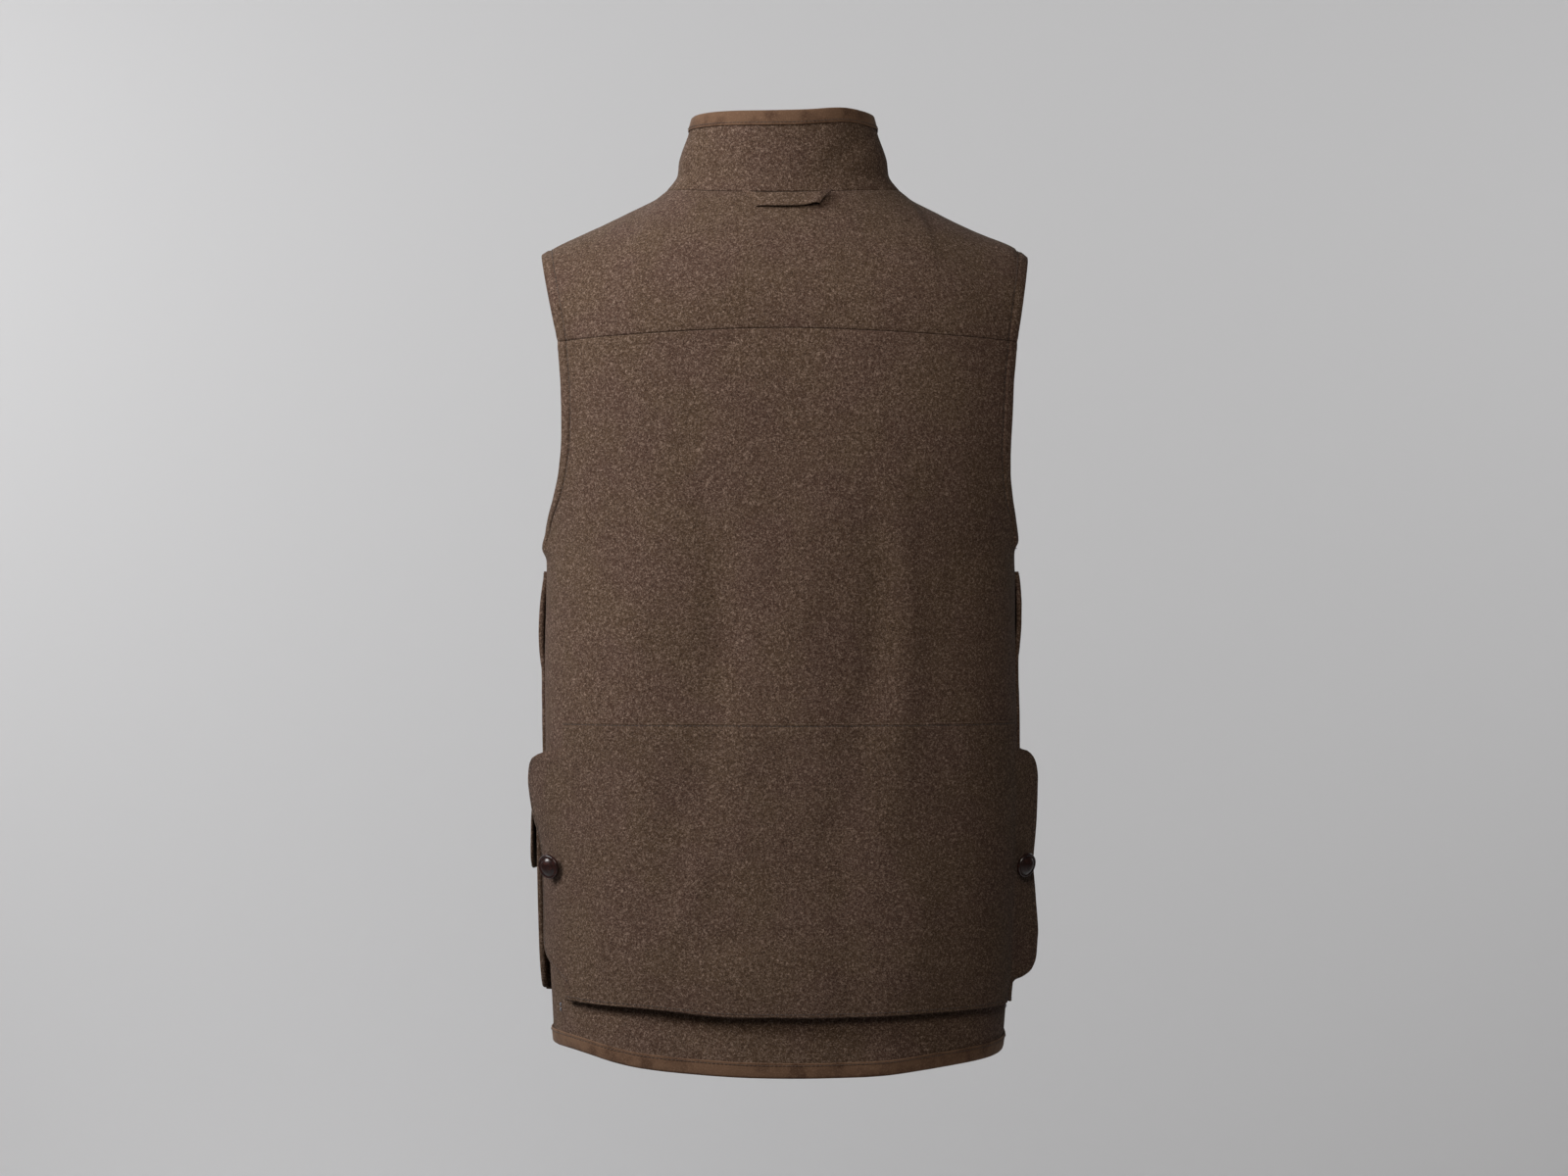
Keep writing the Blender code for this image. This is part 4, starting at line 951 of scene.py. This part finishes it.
def makeBinding(name, edge, out, beyond, width):
    cut = bindingCut
    a, b = np.array(bindingProfile(width)).T[:, None]
    outFace = (a > 0.0004) | (a < -cloth["thickness"] - 0.0004)
    stitched = outFace & (np.abs(b + width - cut["stitchIn"]) < 0.0004)
    swell = cut["swell"] * unevenness(edge, 0.009, 6.3)[:, None] * outFace - cut["stitchSink"] * stitched
    wave = cut["wave"] * unevenness(edge, 0.022, 1.9)[:, None] * (b < -0.004)
    along = out[:, None] * (a + swell * np.where(a > 0, 1.0, -1.0))[..., None]
    tube(name, edge[:, None] + along + beyond[:, None] * (b + wave)[..., None], suede, "suede", True)
    middle = edge + beyond * (-width + cut["stitchIn"])
    lift = cloth["seamGap"] + cloth["bindingCloth"]
    lines = [(middle + out * lift, out), (middle - out * (lift + cloth["thickness"]), -out)]
    stitches(name + "Stitching", lines, suedeThread, "suede", cut["pitch"])


def collarBinding():
    outer, normals, _ = made["standCollar"]
    edge = outer[-1] + normals[-1] * cloth["edgeRoll"]
    makeBinding("collarBinding", edge, normals[-8], unit(edge - outer[-12]), bindingCut["width"])


def hemBinding():
    parts = []
    for name in ("frontRight", "backPanel", "frontLeft"):
        outer, normals, _ = made[name]
        parts.append((outer[0] + normals[0] * cloth["seamRoll"], normals[8], unit(outer[0] - outer[12])))
    line = [np.concatenate([right, middle[1:], left[::-1][1:]]) for right, middle, left in zip(*parts)]
    keep = np.append(True, np.linalg.norm(np.diff(line[0], axis=0), axis=1) > 0.0004)
    makeBinding("hemBinding", *(part[keep] for part in line), bindingCut["hemWidth"])


collarBinding()
hemBinding()
print("Bindings made")

# game pocket with its wings

gamePocket = {
    "leftRoot": 67.0, "rightRoot": 78.5, "wingCurl": 1.5,
    # height, stand at the centre, at the wing's root, at its left and right edge, edge angles
    "rows": [
        (-0.4466, 0.0028, 0.0028, 0.0028, 0.0028, 72.0, 80.5),
        (-0.4690, 0.0034, 0.0030, 0.0036, 0.0036, 72.5, 81.0),
        (-0.4725, 0.0035, 0.0030, 0.0072, 0.0100, 78.0, 83.6),
        (-0.4780, 0.0037, 0.0031, 0.0132, 0.0145, 82.5, 85.2),
        (-0.4860, 0.0039, 0.0031, 0.0150, 0.0170, 84.8, 86.5),
        (-0.4970, 0.0042, 0.0031, 0.0155, 0.0180, 85.5, 87.0),
        (-0.5250, 0.0050, 0.0031, 0.0122, 0.0176, 85.5, 87.0),
        (-0.5470, 0.0058, 0.0031, 0.0070, 0.0162, 85.5, 87.0),
        (-0.5670, 0.0065, 0.0031, 0.0045, 0.0148, 85.5, 87.0),
        (-0.5950, 0.0076, 0.0031, 0.0042, 0.0180, 85.5, 87.0),
        (-0.6280, 0.0090, 0.0034, 0.0050, 0.0220, 85.5, 87.0),
        (-0.6470, 0.0098, 0.0039, 0.0056, 0.0218, 82.5, 86.2),
        (-0.6590, 0.0101, 0.0043, 0.0052, 0.0190, 76.5, 84.6),
        (-0.6655, 0.0101, 0.0046, 0.0050, 0.0120, 72.5, 82.0),
        (-0.6690, 0.0100, 0.0048, 0.0052, 0.0064, 71.0, 80.0),
        (-0.6850, 0.0094, 0.0054, 0.0056, 0.0066, 70.0, 79.8),
        (-0.6836, 0.0070, 0.0038, 0.0038, 0.0042, 70.0, 79.8),
        (-0.6750, 0.0040, 0.0008, 0.0008, 0.0010, 70.0, 79.8),
    ],
    "outerRows": 16,
    "lengths": {"left": 0.064, "right": 0.034, "middle": 0.45},
    "stitchUp": 0.0040,
    "footRise": 0.0004,
    "slits": (66.0, -77.5), "slitTop": -0.6660, "slitWidth": 0.5, "slitDepth": 0.0014,
    "riseTop": -0.600,
    "endRise": 0.0050,       # the lower edge rises this far towards both ends
    "leftRise": 0.0036,      # and this much more on the left
    "topStitch": 0.0026,
    "wingStitch": 0.0050, "wingTop": -0.476, "wingFoot": -0.664,
    "topMarks": [0.0, 0.006, 0.02, 0.045, 0.09, 0.135, 0.15],    # fine rows in the turned top edge
}


def marksBetween(gaps, least):
    # places between table rows, about a mesh step apart
    counts = [max(int(round(gap / cloth["step"])), least) for gap in gaps]
    return [i + k / count for i, count in enumerate(counts) for k in range(count)]


def pocketTable(at):
    return [steadyCurve(column, at)[:, None] for column in np.array(gamePocket["rows"]).T]


def pocketPoint(at, degrees, q):
    height, stand, root, leftOut, rightOut = pocketTable(at)[:5]
    left = degrees > 0
    across = np.abs(degrees) / np.where(left, gamePocket["leftRoot"], gamePocket["rightRoot"])
    wing = (np.where(left, leftOut, rightOut) - root) * np.abs(q) ** gamePocket["wingCurl"]
    out = root + (stand - root) * (1.0 - np.minimum(across, 1.0) ** 4) + wing
    low = smoothStep((gamePocket["riseTop"] - height) / 0.070)
    height = height + gamePocket["endRise"] * low * (across ** 2 - 0.25)
    height = height + gamePocket["leftRise"] * low * smoothStep((degrees - 20.0) / 30.0)
    return bodyRaised(np.radians(degrees), height, out)


def pocketColumns(at):
    leftEdge, rightEdge = pocketTable(at)[5:]
    long, step = gamePocket["lengths"], cloth["step"]
    leftQ, rightQ = (spread(long[part], step, first=False)[None, 1:] for part in ("left", "right"))
    middle = spread(long["middle"], step, first=False, last=False)[None]
    leftRoot, rightRoot = gamePocket["leftRoot"], gamePocket["rightRoot"]
    one = np.ones_like(leftEdge)
    degrees = np.concatenate([
        (-rightRoot - (rightEdge - rightRoot) * rightQ)[:, ::-1],
        one * (-rightRoot + (leftRoot + rightRoot) * middle),
        leftRoot + (leftEdge - leftRoot) * leftQ,
    ], axis=1)
    return degrees, np.concatenate([-rightQ[:, ::-1], 0.0 * middle, leftQ], axis=1) * one


def pocketRowMarks():
    rows = np.array(gamePocket["rows"])
    gaps = np.hypot(*np.diff(rows[:, :2], axis=0).T)
    gaps[0] = 12 * cloth["step"]
    marks = [m for m in marksBetween(gaps, 2) if m > 0.06]
    return oddCount(sorted(marks + gamePocket["topMarks"] + [len(rows) - 1.0]), 40)


def makeGamePocket():
    cut = gamePocket
    at = pocketRowMarks()
    degrees, q = pocketColumns(at)
    grid = pocketPoint(at, degrees, q)
    left, right, top, _ = edgeDistances(grid)
    z = grid[..., 2]
    lowest = cut["outerRows"] - 1
    face = at <= lowest
    toBottom = z - z[int(np.argmin(np.abs(at - lowest)))]
    relief = cut["footRise"] * smoothStep((0.0035 - toBottom) / 0.0015)
    relief = relief - groove(toBottom, cut["stitchUp"], 0.00035)
    # a short fold at the foot of each wing
    slit = sum(bump((degrees - middle) / cut["slitWidth"]) for middle in cut["slits"])
    slit = slit * smoothStep((cut["slitTop"] - z) / 0.003)
    relief = (relief - cut["slitDepth"] * slit) * face[:, None]
    # the top edge is turned in and sewn flat, so it rises softly from the back
    relief = relief - 0.0005 * bump(top / 0.0020) - groove(top, cut["topStitch"], 0.0009, 0.0008)
    edge = np.minimum(left, right)
    relief = relief - groove(edge, cut["wingStitch"], 0.00030) * (z < cut["wingTop"])
    relief = relief + 0.0007 * unevenness(grid, 0.045, 2.2)
    clothPiece("gamePocket", grid, woolPocket, relief, edges="plain")
    outer, normals, distances = made["gamePocket"]
    made["pocketFace"] = outer[face], normals[face], [distance[face] for distance in distances]


makeGamePocket()
print("Game pocket made")

# hand pockets on the chest

handPocket = {
    "top": -0.322, "foot": -0.482, "rear": 90.0, "fore": 138.0, "tall": 0.160, "wide": 0.110,
    "gape": 0.0032, "gapeHeight": {1: -0.3665, -1: -0.3560}, "gapeReach": 0.038,
    "weltWidth": 0.0110,     # the opening's edge is turned in twice and stands thick
    "weltGap": {"closed": -0.0005, "open": 0.0015},
    "edgeHalf": 0.0022,
    # edge, distance from it and depth of each row of stitches
    "stitchRows": [(0, 0.0060, 0.00035), (1, 0.0022, 0.0003), (3, 0.0022, 0.0003), (2, 0.0022, 0.0003)],
}


def stitchedIn(grid, rows):
    distances = edgeDistances(grid)
    return -sum(groove(distances[side], at, depth) for side, at, depth in rows)


def makeHandPocket(name, side):
    cut = handPocket
    height = (cut["top"] + (cut["foot"] - cut["top"]) * spread(cut["tall"], cloth["step"]))[:, None]
    q = spread(cut["wide"], cloth["step"])[None, :]
    degrees = cut["rear"] + (cut["fore"] - cut["rear"]) * q
    bow = np.maximum(1.0 - ((height - cut["gapeHeight"][side]) / cut["gapeReach"]) ** 2, 0.0)
    out = laidOn + cut["gape"] * bow * (1.0 - q) ** 2
    grid = bodyRaised(side * np.radians(degrees), height, out)
    free = cut["weltGap"]["closed"] + (cut["weltGap"]["open"] - cut["weltGap"]["closed"]) * np.sqrt(bow)
    welt = smoothStep((cut["weltWidth"] - edgeDistances(grid)[0]) / 0.004)
    thickness = cloth["thickness"] + (np.maximum(out - free, 0.002) - cloth["thickness"]) * welt
    relief = stitchedIn(grid, cut["stitchRows"])
    clothPiece(name, grid, woolFront, relief, ["fold", "plain", "plain", "plain"], thickness)
    turnedEdge(name + "Edge", *edgeFrame(name, 0), woolFront, cut["edgeHalf"])


# bellows pockets on the skirt and their flaps

bellows = {
    "rear": 91.5, "fore": 146.0, "wide": 0.125, "stand": 0.0090, "turnIn": 0.22, "edge": 0.030,
    "setIn": 3.2,            # degrees that the rear wall lies in under the pocket's edge
    "foldThick": 0.0024,
    # height, share of the stand on the left and on the right, rounding of the corner in degrees
    "rows": [
        (-0.520, 1.0, 1.0, 0.0), (-0.560, 1.0, 1.0, 0.0), (-0.600, 1.0, 1.0, 0.0),
        (-0.640, 1.0, 0.96, 0.0), (-0.660, 1.0, 0.72, 0.2), (-0.6710, 1.0, 0.42, 1.6),
        (-0.6745, 0.94, 0.32, 3.0), (-0.6756, 0.22, 0.22, 3.4),
    ],
}

flap = {
    "rear": 91.0, "fore": 147.5, "wide": 0.130,
    # height, distance out from the body, flare at the rear, rounding of the corner in degrees
    "rows": [
        (-0.5030, 0.0028, 0.0, 0.0), (-0.5110, 0.0086, 0.0, 0.0), (-0.5190, 0.0120, 0.0004, 0.0),
        (-0.5400, 0.0123, 0.0016, 0.0), (-0.5620, 0.0124, 0.0022, 0.0),
        (-0.5695, 0.0124, 0.0020, 1.0), (-0.5738, 0.0124, 0.0016, 3.2),
    ],
    "stitchRows": [(0, 0.0055, 0.0003), (1, 0.0055, 0.0003), (3, 0.0055, 0.0003)],
}


def rowMarks(heights, outs):
    # closer together at both ends
    count = len(heights)
    marks = marksBetween(np.hypot(np.diff(heights), np.diff(outs)), 3)
    return oddCount(sorted(set(marks + [0.03, 0.1, count - 1.0, count - 1.1, count - 1.03])), 3)


def columnsAt(rows, at):
    return (curveThrough(np.arange(len(rows)), column, at)[:, None] for column in rows.T)


def makeBellows(name, side):
    cut = bellows
    rows = np.array(cut["rows"])
    at = rowMarks(rows[:, 0], 0.0 * rows[:, 0])
    height, left, right, corner = columnsAt(rows, at)
    stand = left if side > 0 else right
    q = spread(cut["wide"], cloth["step"])[None, :]
    rear, fore = cut["rear"] + corner, cut["fore"] - corner
    toSide = np.clip(np.minimum(q, 1.0 - q) / cut["edge"], 0.0, 1.0)
    share = cut["turnIn"] + (1.0 - cut["turnIn"]) * np.sqrt(1.0 - (1.0 - toSide) ** 2)
    under = 1.0 - smoothStep((share - cut["turnIn"]) / (1.0 - cut["turnIn"]))
    degrees = rear + (fore - rear) * q + cut["setIn"] * under * (q < 0.5)
    grid = bodyRaised(side * np.radians(degrees), height, cut["stand"] * np.minimum(share, stand))
    clothPiece(name, grid, woolPocket, 0.0004 * unevenness(grid, 0.030, 4.4), "plain")
    # the fold along the rear edge and round the lower corner
    low = at <= len(rows) - 2
    heights, angles = height[low, 0], side * np.radians(rear[low, 0] + 0.1)
    outs, points = bodyNormal(angles, heights), bodyPoint(angles, heights)
    surface = points + outs * (cut["stand"] * stand[low] + 0.0004)
    further = bodyPoint(angles + side * 0.02, heights) - points
    turnedEdge(name + "Edge", surface, outs, -unit(further), woolPocket, cut["foldThick"])


def makeFlap(name, side):
    rows = np.array(flap["rows"])
    height, base, flare, corner = columnsAt(rows, rowMarks(rows[:, 0], rows[:, 1]))
    q = spread(flap["wide"], cloth["step"])[None, :]
    rear, fore = flap["rear"] + corner, flap["fore"] - corner
    grid = bodyRaised(side * np.radians(rear + (fore - rear) * q), height, base + flare * (1.0 - q) ** 4)
    clothPiece(name, grid, woolPocket, stitchedIn(grid, flap["stitchRows"]), "fold")


for word, side in (("Left", 1), ("Right", -1)):
    makeHandPocket("handPocket" + word, side)
    makeBellows("bellowsPocket" + word, side)
    makeFlap("pocketFlap" + word, side)
print("Front pockets made")

# hanging loop in the collar seam

loop = {
    "centre": -0.0036, "lowShift": -0.0004, "topWidth": 0.0760, "lowWidth": 0.0576, "depth": 0.0206,
    "cloth": 0.0016, "slit": 0.0036, "belowSeam": 0.0012, "stand": 0.0016,
    "tall": 0.0180,
    "flick": 0.0034,         # the right end stands off
}


def makeLoop():
    cut = loop
    down = spread(cut["tall"], cut["tall"] / 22)[:, None]
    across = (2.0 * spread(cut["topWidth"], 0.0016) - 1.0)[None, :]
    middle = smoothStep((1.0 - np.abs(across)) / 0.3)
    half = (cut["topWidth"] + (cut["lowWidth"] - cut["topWidth"]) * down) / 2.0
    distance = cut["belowSeam"] + cut["slit"] * middle * (1.0 - down)
    distance = distance + (cut["depth"] - cut["belowSeam"]) * down
    x = cut["centre"] + cut["lowShift"] * down + half * across
    steps = np.linspace(1.0, 0.72, 180)
    points, outs = np.zeros(x.shape + (3,)), np.zeros(x.shape + (3,))
    # every point is found by going down from the neck seam along the yoke
    for i, row in enumerate(x):
        for side, chosen in ((1, row >= 0), (-1, row < 0)):
            share = np.arcsin(np.abs(row[chosen]) / neckline["halfWidth"]) / (math.pi / 2.0)
            lines = upperPanel(side, 0.0, panelCut["backArmhole"], share, steps)
            gone = edgeDistances(lines)[2]
            normals = gridNormals(lines, fromCore(lines))
            for j, c in enumerate(np.nonzero(chosen)[0]):
                points[i, c] = placedAlong(distance[i, c], gone[:, j], lines[:, j])
                outs[i, c] = placedAlong(distance[i, c], gone[:, j], normals[:, j])
    lift = cut["cloth"] + cloth["seamGap"] + cut["stand"] * middle
    lift = lift + cut["flick"] * np.sqrt(down) * bump((across + 0.9) / 0.28)
    grid = points + unit(outs) * lift[..., None]
    clothPiece("hangingLoop", grid, woolYoke, edges="plain", thickness=cut["cloth"], outside=outs)


makeLoop()
print("Hanging loop made")

# buttons

buttonForm = {
    "sides": 48,
    "shankRadius": 0.0021,
    "shankTurn": 0.00055,     # height of one turn of thread round the shank
    "shankInside": 0.0016,    # the shank runs this far into the button
    "shankSides": 16,
    # radius, rise above the cloth
    "profile": [
        (0.0018, 0.0015), (0.0070, 0.0018), (0.0096, 0.0023), (0.0103, 0.0030),
        (0.0105, 0.0038), (0.0103, 0.0047), (0.0099, 0.0054), (0.0094, 0.0057), (0.0089, 0.0056),
        (0.0084, 0.0053), (0.0079, 0.0053), (0.0068, 0.0062), (0.0052, 0.0072), (0.0034, 0.0078),
        (0.0017, 0.0081),
    ],
    "crown": 0.0082,
}


def buttonFrame(name):
    # centre of the solid's foot and its axis, read from its own points
    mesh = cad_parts[solidOf(name)].data
    points = np.array([v.co[:] for v in mesh.vertices])
    centre = points.mean(axis=0)
    axis = np.linalg.svd(points - centre)[2][2]
    if np.dot(axis, [centre[0], centre[1], 0.0]) < 0:
        axis = -axis
    along = (points - centre) @ axis
    return centre + axis * along.min(), axis, float(along.max() - along.min())


def turned(name, profile, crown, foot, axis, sides, *finish):
    # a closed turned body from (radius, rise) rings and the height of its crown
    first = unit(np.cross(axis, [0.0, 0.0, 1.0]))
    cosine, sine = circle(sides)
    spokes = first * cosine + np.cross(axis, first) * sine
    rings = [foot + axis * rise + spokes * radius for radius, rise in profile]
    last, top = (len(profile) - 1) * sides, len(profile) * sides
    faces = tubeFaces(len(profile), sides)[:-2]
    for i in range(sides):
        k = (i + 1) % sides
        faces += [(top, last + i, last + k), (top + 1, k, i)]
    centres = [foot + axis * crown, foot + axis * profile[0][1]]
    addPiece(name, np.concatenate(rings + [centres]), faces, *finish)


def makeButton(name):
    cut = buttonForm
    foot, axis, height = buttonFrame(name)
    shank = height - cut["crown"]
    profile = [(radius, rise + shank) for radius, rise in cut["profile"]]
    turned(name, profile, height, foot, axis, cut["sides"], horn, "horn", True)
    rings = []
    for rise in np.arange(0.0, shank + cut["shankInside"], cut["shankTurn"]):
        rings += [(cut["shankRadius"] * 0.85, rise), (cut["shankRadius"], rise + cut["shankTurn"] / 2.0)]
    turned(name + "Shank", rings, rings[-1][1] + 0.0001, foot, axis, cut["shankSides"], thread)


for name in ("wingButtonLeft", "wingButtonRight", "frontButton1", "frontButton2", "frontButton3",
             "frontButton4", "frontButton5", "collarButton"):
    makeButton(name)
print("Buttons made")


# rows of stitches

def sewSeams():
    arm = bodyForm["underarm"] + 0.008
    places = (("backPanel", 0), ("backPanel", 1), ("backYoke", 0), ("backYoke", 1),
              ("frontLeft", 1), ("frontRight", 1))
    lines = [lineAt(name, side, panelCut["topstitch"], low=arm) for name, side in places]
    stitches("armholeStitching", lines, thread)
    points, outs = lineAt("frontLeft", 0, panelCut["frontStitch"])
    stitches("frontEdgeStitching", [(points[6:], outs[6:])], thread)


def sewGamePocket():
    cut = gamePocket
    outer, normals, _ = made["pocketFace"]
    middle = outer[:, outer.shape[1] // 2, 2]
    row = int(np.argmin(np.abs(middle - (middle[-1] + cut["stitchUp"]))))
    lines = [(outer[row], normals[row]), lineAt("pocketFace", 2, cut["topStitch"], byRow=False)]
    for side in (0, 1):
        lines.append(lineAt("pocketFace", side, cut["wingStitch"], low=cut["wingFoot"], high=cut["wingTop"]))
    stitches("gamePocketStitching", lines, thread)


def sewFrontPockets():
    lines = []
    for word in ("Left", "Right"):
        for name, cut in (("handPocket", handPocket), ("pocketFlap", flap)):
            for side, at, _ in cut["stitchRows"]:
                lines.append(lineAt(name + word, side, at, byRow=side < 2))
    stitches("frontPocketStitching", lines, thread)


tack = {"left": 75.3, "right": -84.0, "top": -0.6812, "foot": -0.6895, "apart": 0.16, "rows": 3}


def sewTacks():
    # close rows of stitches on the skirt below the foot of each wing
    lines, heights = [], np.linspace(tack["top"], tack["foot"], 8)
    for middle in (tack["left"], tack["right"]):
        for i in range(tack["rows"]):
            angle = np.radians(middle + tack["apart"] * (i - 1)) + 0.0 * heights
            lines.append((bodyRaised(angle, heights, 0.0003), bodyNormal(angle, heights)))
    stitches("pocketTacks", lines, tackThread, pitch=0.0032)


sewSeams()
sewGamePocket()
sewFrontPockets()
sewTacks()
print("Stitches made")

# stage, light and camera

studio = {
    "distance": 3.3,
    "aim": (-0.0008, -0.336),
    "frameWidth": 1.328,       # metres across the picture at the garment
    "backdrop": (0.725, 0.725, 0.735),
    "backdropBehind": -4.2,
    "floor": -2.6,
    "sweepRadius": 0.7,        # between floor and backdrop
    "halfWidth": 7.0,
    # name, place, aim, size, power, colour
    "lights": [
        ("keyLight", (1.45, 1.35, 1.30), (0.0, 0.0, -0.30), 1.0, 29.5, (1.0, 1.0, 1.0)),
        ("sideLight", (1.9, 0.7, 0.7), (0.0, 0.0, -0.30), 1.0, 41.0, (1.0, 1.0, 1.0)),
        ("fillLight", (-0.10, 1.75, 0.42), (0.0, 0.0, -0.36), 0.8, 13.2, (1.0, 0.94, 0.86)),
        ("frontLight", (0.7, -1.9, 1.4), (0.0, 0.0, -0.35), 0.9, 16.0, (1.0, 1.0, 1.0)),
        ("wallTop", (0.0, -2.2, 1.6), (0.0, -4.2, -0.3), 2.5, 11.7, (1.0, 1.0, 1.0)),
        ("wallLeft", (2.6, -2.4, 0.6), (0.2, -4.2, -0.3), 2.0, 36.2, (1.0, 1.0, 1.0)),
        ("wallRight", (-2.6, -2.4, 0.6), (-0.2, -4.2, -0.3), 2.0, 18.5, (1.0, 1.0, 1.0)),
        ("wallLow", (1.2, -3.0, -2.3), (0.2, -4.2, -0.9), 1.0, 3.8, (1.0, 1.0, 1.0)),
    ],
    "world": 0.036,
    "worldColour": (1.0, 0.92, 0.84, 1.0),
}


def makeStage():
    material = makeMaterial("paleBackdrop", {"base": studio["backdrop"], "roughness": 0.9})
    low, behind, radius = studio["floor"], studio["backdropBehind"], studio["sweepRadius"]
    profile = [(6.0, low), (1.0, low)]
    for i in range(13):
        turn = math.pi / 2.0 * i / 12
        profile.append((behind + radius - radius * math.sin(turn), low + radius - radius * math.cos(turn)))
    profile.append((behind, 5.0))
    verts = [(x, y, z) for y, z in profile for x in (-studio["halfWidth"], studio["halfWidth"])]
    faces = [(2 * i, 2 * i + 1, 2 * i + 3, 2 * i + 2) for i in range(len(profile) - 1)]
    newMesh("backdrop", verts, faces, material)


def areaLight(name, place, aim, size, power, colour):
    data = bpy.data.lights.new(name, "AREA")
    data.shape = "DISK"
    data.size = size
    data.energy = power
    data.color = colour
    item = placed(name, data)
    item.location = place
    item.rotation_euler = (Vector(aim) - Vector(place)).to_track_quat("-Z", "Y").to_euler()


def makeLights():
    for light in studio["lights"]:
        areaLight(*light)
    world = bpy.data.worlds.new("studioAir")
    world.use_nodes = True
    ground = world.node_tree.nodes["Background"]
    ground.inputs["Color"].default_value = studio["worldColour"]
    ground.inputs["Strength"].default_value = studio["world"]
    bpy.context.scene.world = world


def makeCamera():
    data = bpy.data.cameras.new("camera")
    data.sensor_width = 36.0
    data.lens = 36.0 * studio["distance"] / studio["frameWidth"]
    item = placed("camera", data)
    item.location = (studio["aim"][0], studio["distance"], studio["aim"][1])
    item.rotation_euler = (math.pi / 2.0, 0.0, math.pi)
    bpy.context.scene.camera = item


makeStage()
makeLights()
makeCamera()
bpy.context.scene.view_settings.view_transform = "Standard"
print("Stage, lights and camera set")
